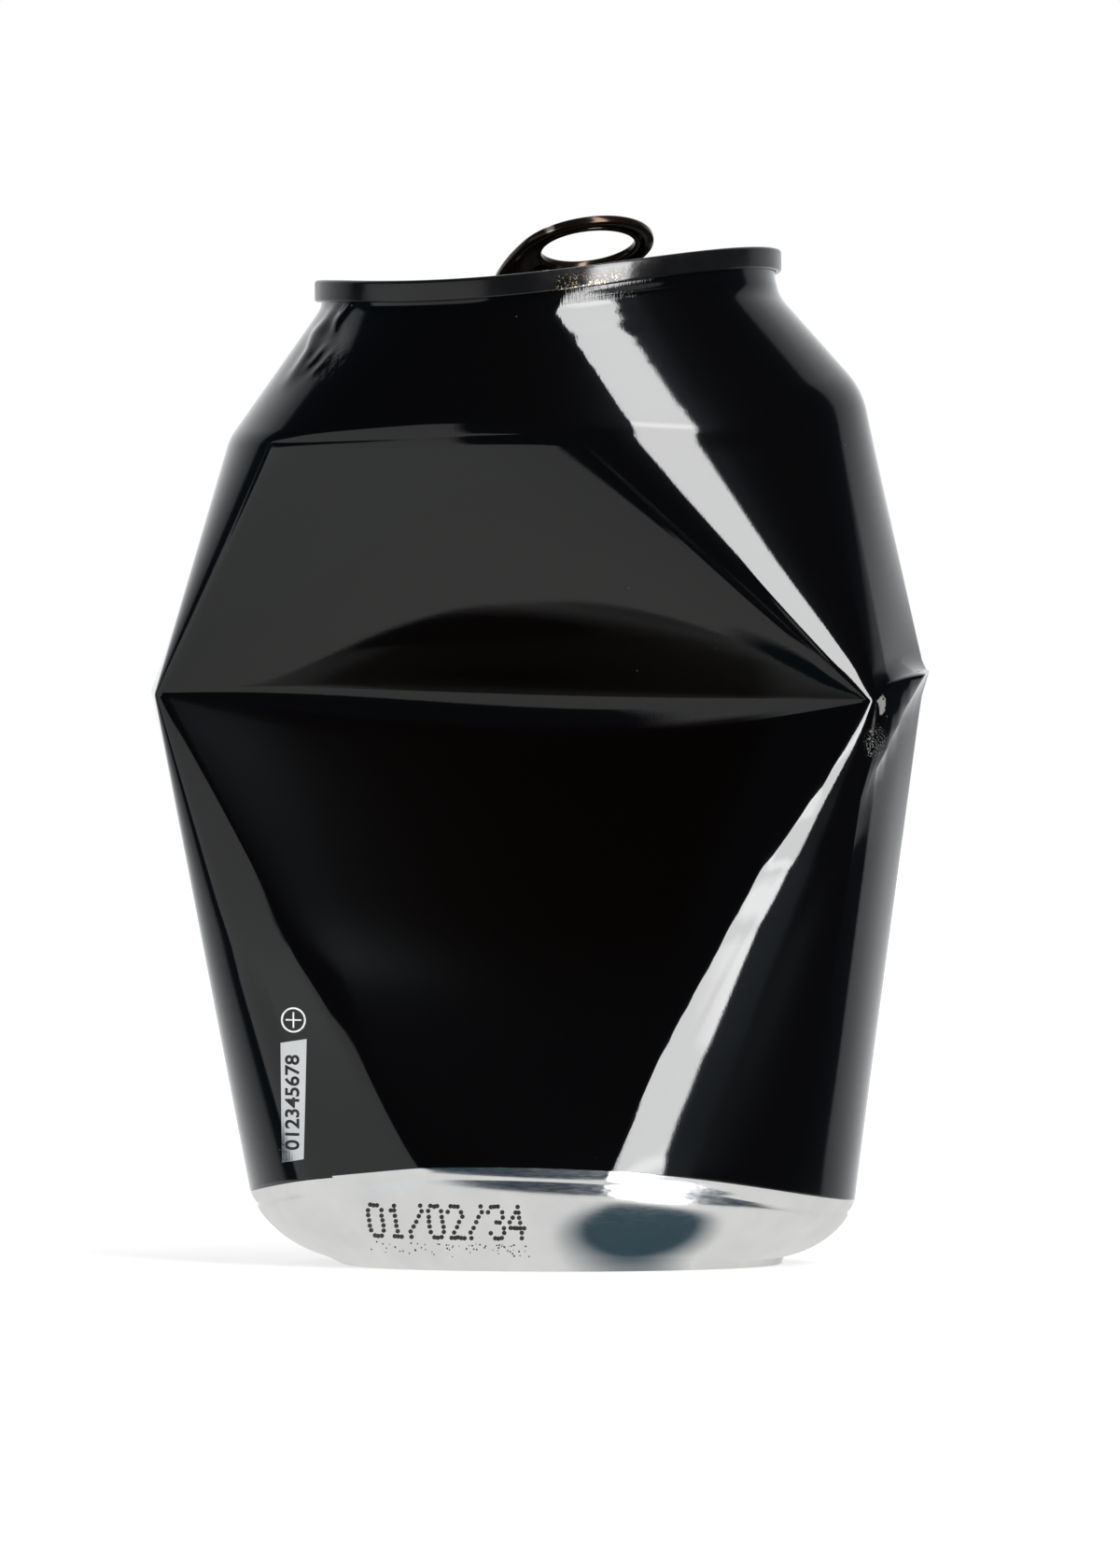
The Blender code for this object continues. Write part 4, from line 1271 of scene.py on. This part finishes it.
def make_island():
    """The flat island under the rivet's head, and the bent strip that joins it to the tab's web."""
    flat = ISLAND_CLEARANCE + ISLAND_SHEET / 2
    path, half_widths = [], []
    for along in [*(ISLAND_RADIUS * np.linspace(0.985, 0.2, 9)), *ISLAND_STATIONS]:
        path.append((along, flat))
        on_disc = along > ISLAND_DISC_END
        half_widths.append(math.sqrt(ISLAND_RADIUS**2 - along**2) if on_disc else ISLAND_STRIP_HALF_WIDTH)
    web = TAB_THICKNESS / 2 - TAB_SHEET / 2
    joined = [tab_matrix() @ Vector((along, 0, web)) for along in ISLAND_STRIP_STATIONS]
    start, bend = np.array(path[-1]), np.array((ISLAND_STRIP_BEND, flat))
    end = np.array((joined[0].x, joined[0].z))
    path += [tuple(curve(start, bend, end, share)) for share in np.linspace(0, 1, 9)[1:]]
    path.append((joined[1].x, joined[1].z))
    half_widths += [ISLAND_STRIP_HALF_WIDTH] * (len(path) - len(half_widths))
    points, faces = strip_mesh(path, half_widths, ISLAND_SHEET * 0.9)
    return mesh_object("tab_island_shell", transformed(points, lid_matrix()), faces, material(tab_lacquer))


def evaluated_mesh(piece):
    """A new mesh with a piece's modifiers, or its text, worked out."""
    return bpy.data.meshes.new_from_object(piece.evaluated_get(bpy.context.evaluated_depsgraph_get()))


def cut_slot(tab, place):
    """Cuts the round slot around the island out of the tab's web."""
    angle = round_angles(48)
    radius, centre = ISLAND_SLOT_RADIUS, ISLAND_SLOT_CENTRE
    grid = np.concatenate([oval(angle, radius, radius, height, centre) for height in ISLAND_SLOT_HEIGHTS])
    faces = capped_faces(len(ISLAND_SLOT_HEIGHTS), len(angle))
    cutter = mesh_object("slot_cutter", transformed(grid, place), faces, smooth_faces=False)
    cut = tab.modifiers.new("slot", "BOOLEAN")
    cut.object = cutter
    cut.operation = "DIFFERENCE"
    cut.solver = "EXACT"
    bpy.context.view_layer.update()
    mesh = evaluated_mesh(tab)
    tab.modifiers.clear()
    tab.data = mesh
    bpy.data.objects.remove(cutter)


def make_tab():
    """The pull tab: an open sheet with hemmed edges round its outline and its finger hole."""
    half = TAB_THICKNESS / 2
    angle = round_angles(TAB_COLUMNS)
    outer = tab_outline(angle)
    inner = oval(angle, FINGER_HOLE_HALF_LENGTH, FINGER_HOLE_HALF_WIDTH, centre=FINGER_HOLE_CENTRE)
    inward = unit(inner - outer)
    low = -half + 0.1
    outer_path = profile_path([(1.1, low), (0.0, -half), (0.0, half), (1.2, half)], TAB_EDGE_RADII, 8)
    inner_path = profile_path([(1.0, half), (0.0, half), (0.0, -half), (0.75, low)], TAB_EDGE_RADII, 8)
    rows = [outer + inward * inset + [0, 0, height] for inset, height in outer_path]
    rows += [inner - inward * inset + [0, 0, height] for inset, height in inner_path]
    grid = np.array(rows)
    points, faces = sheet_mesh(grid, grid - normals_of(grid) * TAB_SHEET)
    place = lid_matrix() @ tab_matrix()
    tab = mesh_object("tab_shell", transformed(points, place), faces)
    cut_slot(tab, place)
    add_tab_glints(tab)
    tab.data.materials.append(material(tab_lacquer))
    return tab


def add_tab_glints(tab):
    """Marks the small spots of bright metal that stand for glints on the tab's edges: painted highlights."""
    placed = np.array([vertex.co for vertex in tab.data.vertices]) / MM - AXIS
    across, height = seen_across(placed), placed[:, 2]
    wear_and_glints = np.zeros(len(placed))
    for spot, radius in TAB_GLINTS:
        distance = np.hypot(across - spot[0], height - spot[1])
        wear_and_glints = np.maximum(wear_and_glints, smooth(1.5 - distance / radius))
    set_attribute(tab, "wear_and_glints", wear_and_glints)


def ink(tree, place, colour, worn_colour, roughness):
    """Printed ink, slightly uneven."""
    cloud = noise_at(tree, place, 1500.0, 3.0)
    return {
        "Base Color": mixed(tree, stepped(tree, cloud, 0.45, 0.7), colour, worn_colour),
        "Roughness": roughness,
        "Normal": bumped(tree, cloud, 0.3, 0.00001),
    }


def black_ink(tree, place):
    """The ink of the date and the digits."""
    return ink(tree, place, (0.004, 0.004, 0.005, 1), (0.02, 0.02, 0.022, 1), 0.4)


def white_ink(tree, place):
    """The ink of the ring mark."""
    return ink(tree, place, (0.72, 0.73, 0.72, 1), (0.5, 0.5, 0.5, 1), 0.45)


def laid_on(surface, flat, lift):
    """Points of the body's front at places across the view and up, lifted off it."""
    points = []
    for across, up in flat:
        start = Vector(ASIDE * across + TOWARD * RAY_START) + Vector((0, 0, up))
        hit, normal = surface.ray_cast(start, -Vector(TOWARD))[:2]
        outward = math.copysign(lift, normal.dot(Vector(TOWARD)))
        points.append(tuple(hit + normal * outward))
    return points


def print_layer(name, surface, shapes, look, lift=0.0):
    """A thin closed layer on the body's front from flat shapes, each with points and faces."""
    points, faces = [], []
    for flat, flat_faces in shapes:
        offset, count = len(points), len(flat)
        points += laid_on(surface, flat, lift) + laid_on(surface, flat, lift + PRINT_LIFT)
        edges = {(a, b) for face in flat_faces for a, b in zip(face, face[1:] + face[:1])}
        faces += [tuple(offset + i for i in reversed(face)) for face in flat_faces]
        faces += [tuple(offset + count + i for i in face) for face in flat_faces]
        for a, b in sorted(edges):
            if (b, a) not in edges:
                faces.append((offset + a, offset + b, offset + count + b, offset + count + a))
    piece = mesh_object(name, np.array(points) + AXIS, faces, look, smooth_faces=False)
    finish_piece(piece)


def disc(centre, radius, sides):
    """A flat many-sided disc."""
    angles = round_angles(sides)
    flat = [(centre[0] + radius * math.cos(a), centre[1] + radius * math.sin(a)) for a in angles]
    return flat, [tuple(range(sides))]


def rectangle(low, high):
    """A flat rectangle between two corners."""
    (left, bottom), (right, top) = low, high
    return [(left, bottom), (right, bottom), (right, top), (left, top)], [(0, 1, 2, 3)]


def date_dots():
    """The dots of a dot-matrix date, and of the spray below it."""
    chance = np.random.default_rng(12)
    dots = []
    for place, letter in enumerate(DATE_TEXT):
        for row, bits in enumerate(DIGIT_ROWS[letter]):
            for column, bit in enumerate(bits):
                if bit == "1":
                    x = DATE_CORNER[0] + (place * DATE_COLUMNS + column) * DATE_PITCH[0] + row * DATE_LEAN
                    z = DATE_CORNER[1] - row * DATE_PITCH[1]
                    centre = np.array([x, z]) + chance.uniform(-DATE_JITTER, DATE_JITTER, 2)
                    dots.append(disc(centre, DOT_RADIUS, DOT_SIDES))
    (left, right), (low, high) = SPRAY_BOX
    for _ in range(SPRAY_DOTS):
        centre = chance.uniform(left, right), chance.triangular(low, high, high)
        dots.append(disc(centre, chance.uniform(*SPRAY_RADII), DOT_SIDES))
    return dots


def label_patch():
    """The bare rectangle in the lacquer, as a fine grid between its corners."""
    low_left, low_right, high_right, high_left = (np.array(corner) for corner in LABEL_CORNERS)
    wide, tall = LABEL_GRID
    flat = []
    for up in np.linspace(0, 1, tall + 1):
        left, right = low_left + (high_left - low_left) * up, low_right + (high_right - low_right) * up
        flat += [tuple(left + (right - left) * share) for share in np.linspace(0, 1, wide + 1)]
    row = wide + 1
    corners = [r * row + c for r in range(tall) for c in range(wide)]
    return flat, [(first, first + 1, first + row + 1, first + row) for first in corners]


def label_digits():
    """The rectangle's digits, read upwards."""
    text = bpy.data.curves.new("digits", "FONT")
    text.body = LABEL_TEXT
    text.resolution_u = 4
    text.offset = LABEL_TEXT_BOLDNESS
    writer = bpy.data.objects.new("digits", text)
    bpy.context.scene.collection.objects.link(writer)
    bpy.context.view_layer.update()
    mesh = evaluated_mesh(writer)
    fine = bmesh.new()
    fine.from_mesh(mesh)
    bmesh.ops.triangulate(fine, faces=fine.faces)
    for _ in range(2):
        long_edges = [edge for edge in fine.edges if edge.calc_length() > LABEL_TEXT_EDGE]
        bmesh.ops.subdivide_edges(fine, edges=long_edges, cuts=1)
        bmesh.ops.triangulate(fine, faces=fine.faces)
    fine.to_mesh(mesh)
    fine.free()
    flat = np.array([vertex.co[:2] for vertex in mesh.vertices])
    faces = [tuple(polygon.vertices) for polygon in mesh.polygons]
    bpy.data.objects.remove(writer)
    bpy.data.curves.remove(text)
    bpy.data.meshes.remove(mesh)
    flat -= flat.min(axis=0)
    flat = flat / flat.max(axis=0) * LABEL_TEXT_SIZE
    return [(LABEL_TEXT_START[0] - v, LABEL_TEXT_START[1] + u) for u, v in flat], faces


def ring_mark():
    """A thin ring with a plus inside it: one level bar, and an upright one in two parts."""
    inner, outer = (disc(MARK_CENTRE, radius, MARK_SIDES)[0] for radius in MARK_RADII)
    nexts = [(k, (k + 1) % MARK_SIDES) for k in range(MARK_SIDES)]
    shapes = [(inner + outer, [(MARK_SIDES + k, MARK_SIDES + n, n, k) for k, n in nexts])]
    half = MARK_STROKE / 2
    bars = (
        ((-MARK_ARM, -half), (MARK_ARM, half)),
        ((-half, -MARK_ARM), (half, -half - 0.01)),
        ((-half, half + 0.01), (half, MARK_ARM)),
    )
    return shapes + [rectangle(np.add(MARK_CENTRE, low), np.add(MARK_CENTRE, high)) for low, high in bars]


def make_print(surface):
    """The date, the bare patch with its digits and the ring mark, all on the body's front."""
    black, white = material(black_ink), material(white_ink)
    print_layer("date_dots", surface, date_dots(), black)
    print_layer("label_patch", surface, [label_patch()], material(bare_aluminium))
    print_layer("label_digits", surface, [label_digits()], black, lift=PRINT_LIFT * 1.5)
    print_layer("ring_mark", surface, ring_mark(), white)


def studio_glow(tree):
    """How bright the studio that glossy surfaces see is, by direction."""

    def below(top, value, soft):
        return calculated(tree, "DIVIDE", calculated(tree, "SUBTRACT", top, value), soft, clamp=True)

    def window(value, low, high, soft):
        return times(tree, below(value, low - soft, 2 * soft), below(high + soft, value, 2 * soft))

    def sloping(value, slope, start):
        return calculated(tree, "MULTIPLY_ADD", value, slope, start)

    direction = add_node(tree, "ShaderNodeTexCoord").outputs["Generated"]
    turned = {"Vector": direction, "Axis": (0, 0, 1), "Angle": -CAMERA_TURN}
    turned = add_node(tree, "ShaderNodeVectorRotate", turned, rotation_type="AXIS_ANGLE").outputs[0]
    x, y, z = add_node(tree, "ShaderNodeSeparateXYZ", {"Vector": turned}).outputs
    azimuth = calculated(tree, "DEGREES", calculated(tree, "ARCTAN2", x, times(tree, y, -1.0)))
    elevation = calculated(tree, "DEGREES", calculated(tree, "ARCSINE", z))

    strip = window(azimuth, *STRIP_LIGHT_AZIMUTHS, STRIP_LIGHT_SOFTNESS)
    strip = times(tree, strip, window(elevation, *STRIP_LIGHT_HEIGHT))
    strip_strength = sloping(window(elevation, *STRIP_HOT_HEIGHT), STRIP_HOT_EXTRA, STRIP_LIGHT_STRENGTH)
    card_top = calculated(tree, "MINIMUM", sloping(azimuth, *CARD_TOP), CARD_TOP_LIMIT)
    card = times(tree, window(azimuth, *CARD_WIDTH), below(card_top, elevation, CARD_TOP_SOFTNESS))
    wall = calculated(tree, "SUBTRACT", 1.0, window(azimuth, *WALL_GAP))
    wall = times(tree, wall, window(elevation, *WALL_HEIGHT))
    wall_strength = sloping(calculated(tree, "ABSOLUTE", azimuth), *WALL_STRENGTH)
    table_edge = calculated(tree, "MAXIMUM", sloping(azimuth, *FAR_TABLE_EDGE), FAR_TABLE_LIMITS[0])
    table_edge = calculated(tree, "MINIMUM", table_edge, FAR_TABLE_LIMITS[1])
    table = below(table_edge, elevation, FAR_TABLE_SOFTNESS)
    return largest(
        tree,
        times(tree, strip, strip_strength),
        times(tree, card, CARD_STRENGTH),
        times(tree, wall, wall_strength),
        times(tree, table, FAR_TABLE_STRENGTH),
    )


def studio_world():
    """A white room for the camera; for reflections, a dark room with a tall strip light to the right,
    a dim card to the left, a pale table below and a white wall behind."""
    world = bpy.data.worlds.new("studio")
    bpy.context.scene.world = world
    world.use_nodes = True
    tree = world.node_tree
    tree.nodes.clear()
    path = add_node(tree, "ShaderNodeLightPath").outputs
    plain = calculated(tree, "MAXIMUM", path["Is Camera Ray"], path["Is Diffuse Ray"])
    mirrored = calculated(tree, "SUBTRACT", 1.0, plain)
    strength = calculated(tree, "ADD", times(tree, studio_glow(tree), mirrored), plain)
    dim = times(tree, DARK_ROOM_STRENGTH, mirrored)
    lights = add_node(tree, "ShaderNodeBackground", {"Color": (1, 1, 1, 1), "Strength": strength})
    dark = add_node(tree, "ShaderNodeBackground", {"Color": DARK_ROOM_COLOUR, "Strength": dim})
    both = add_node(tree, "ShaderNodeAddShader", {0: lights.outputs[0], 1: dark.outputs[0]})
    add_node(tree, "ShaderNodeOutputWorld", {"Surface": both.outputs[0]})


def mirrored_table(tree, place):
    """The table as glossy surfaces see it: pale near the can, with a dark patch of painted shadow, and clear
    beyond.
    """
    away = vector_math(tree, "DISTANCE", "Value", place, tuple(AXIS * MM))
    beyond = stepped(tree, away, NEAR_TABLE_RADIUS * MM, (NEAR_TABLE_RADIUS + NEAR_TABLE_EDGE) * MM)
    (across, near), half_sizes = PAINTED_SHADOW_PATCH
    patch = {
        "Vector": place,
        "Location": tuple((AXIS + ASIDE * across + TOWARD * near) * MM),
        "Rotation": (0, 0, CAMERA_TURN),
        "Scale": (half_sizes[0] * MM, half_sizes[1] * MM, 1.0),
    }
    patch = add_node(tree, "ShaderNodeMapping", patch, vector_type="TEXTURE").outputs[0]
    # painted shadow: a dark patch on the mirrored table, which the base reflects as shade
    dark = stepped(tree, vector_math(tree, "LENGTH", "Value", patch), *PAINTED_SHADOW_EDGE)
    colour = mixed(tree, dark, NEAR_TABLE_COLOUR, PAINTED_SHADOW_COLOUR)
    pale = add_node(tree, "ShaderNodeEmission", {"Color": colour, "Strength": 1.0})
    clear = add_node(tree, "ShaderNodeBsdfTransparent")
    seen = {"Fac": beyond, 1: pale.outputs[0], 2: clear.outputs[0]}
    return add_node(tree, "ShaderNodeMixShader", seen).outputs[0]


def make_floor():
    """A white table with the can's shadow. Glossy surfaces see the mirrored table near the can, and
    the studio beyond it."""
    white = bpy.data.materials.new("white_table")
    white.use_nodes = True
    tree = white.node_tree
    tree.nodes.clear()
    place = add_node(tree, "ShaderNodeTexCoord").outputs["Object"]
    diffuse = add_node(tree, "ShaderNodeBsdfDiffuse", {"Color": TABLE_COLOUR})
    glow = add_node(tree, "ShaderNodeEmission", {"Color": (1, 1, 1, 1), "Strength": TABLE_GLOW})
    lit = add_node(tree, "ShaderNodeAddShader", {0: diffuse.outputs[0], 1: glow.outputs[0]})
    glossy = add_node(tree, "ShaderNodeLightPath").outputs["Is Glossy Ray"]
    seen = {"Fac": glossy, 1: lit.outputs[0], 2: mirrored_table(tree, place)}
    choose = add_node(tree, "ShaderNodeMixShader", seen)
    add_node(tree, "ShaderNodeOutputMaterial", {"Surface": choose.outputs[0]})
    corners, faces = rectangle((-TABLE_HALF, -TABLE_HALF), (TABLE_HALF, TABLE_HALF))
    points = [(x, y, 0) for x, y in corners]
    mesh_object("floor", points, faces, white, smooth_faces=False)


def make_camera():
    """The camera before the can's front, level with its middle."""
    data = bpy.data.cameras.new("camera")
    data.sensor_width = SENSOR_MM
    data.lens = SENSOR_MM * CAMERA_DISTANCE_M / (VIEW_HEIGHT * MM)
    data.clip_start = 0.05
    data.clip_end = 100
    camera = bpy.data.objects.new("camera", data)
    bpy.context.scene.collection.objects.link(camera)
    target = Vector((AXIS + ASIDE * CAMERA_ASIDE) * MM) + Vector((0, 0, CAMERA_HEIGHT * MM))
    camera.location = target + Vector(TOWARD) * CAMERA_DISTANCE_M
    camera.rotation_euler = Vector(-TOWARD).to_track_quat("-Z", "Y").to_euler()
    bpy.context.scene.camera = camera


def finish_piece(piece, node=None):
    """Ties a piece to the frame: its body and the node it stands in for."""
    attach(piece, "root")
    if node:
        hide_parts(node)


def main():
    """Makes every visible piece, the studio and the camera."""
    body, surface = make_body()
    finish_piece(body, "can_body")
    make_print(surface)
    finish_piece(make_lid(), "can_lid")
    finish_piece(make_tab(), "pull_tab")
    finish_piece(make_flap())
    finish_piece(make_rivet())
    finish_piece(make_island())
    compound_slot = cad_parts["seam_compound"].material_slots[0]
    compound_slot.link = "OBJECT"
    compound_slot.material = material(sealing_compound)
    studio_world()
    make_floor()
    make_camera()
    bpy.context.scene.view_settings.view_transform = "Standard"


main()
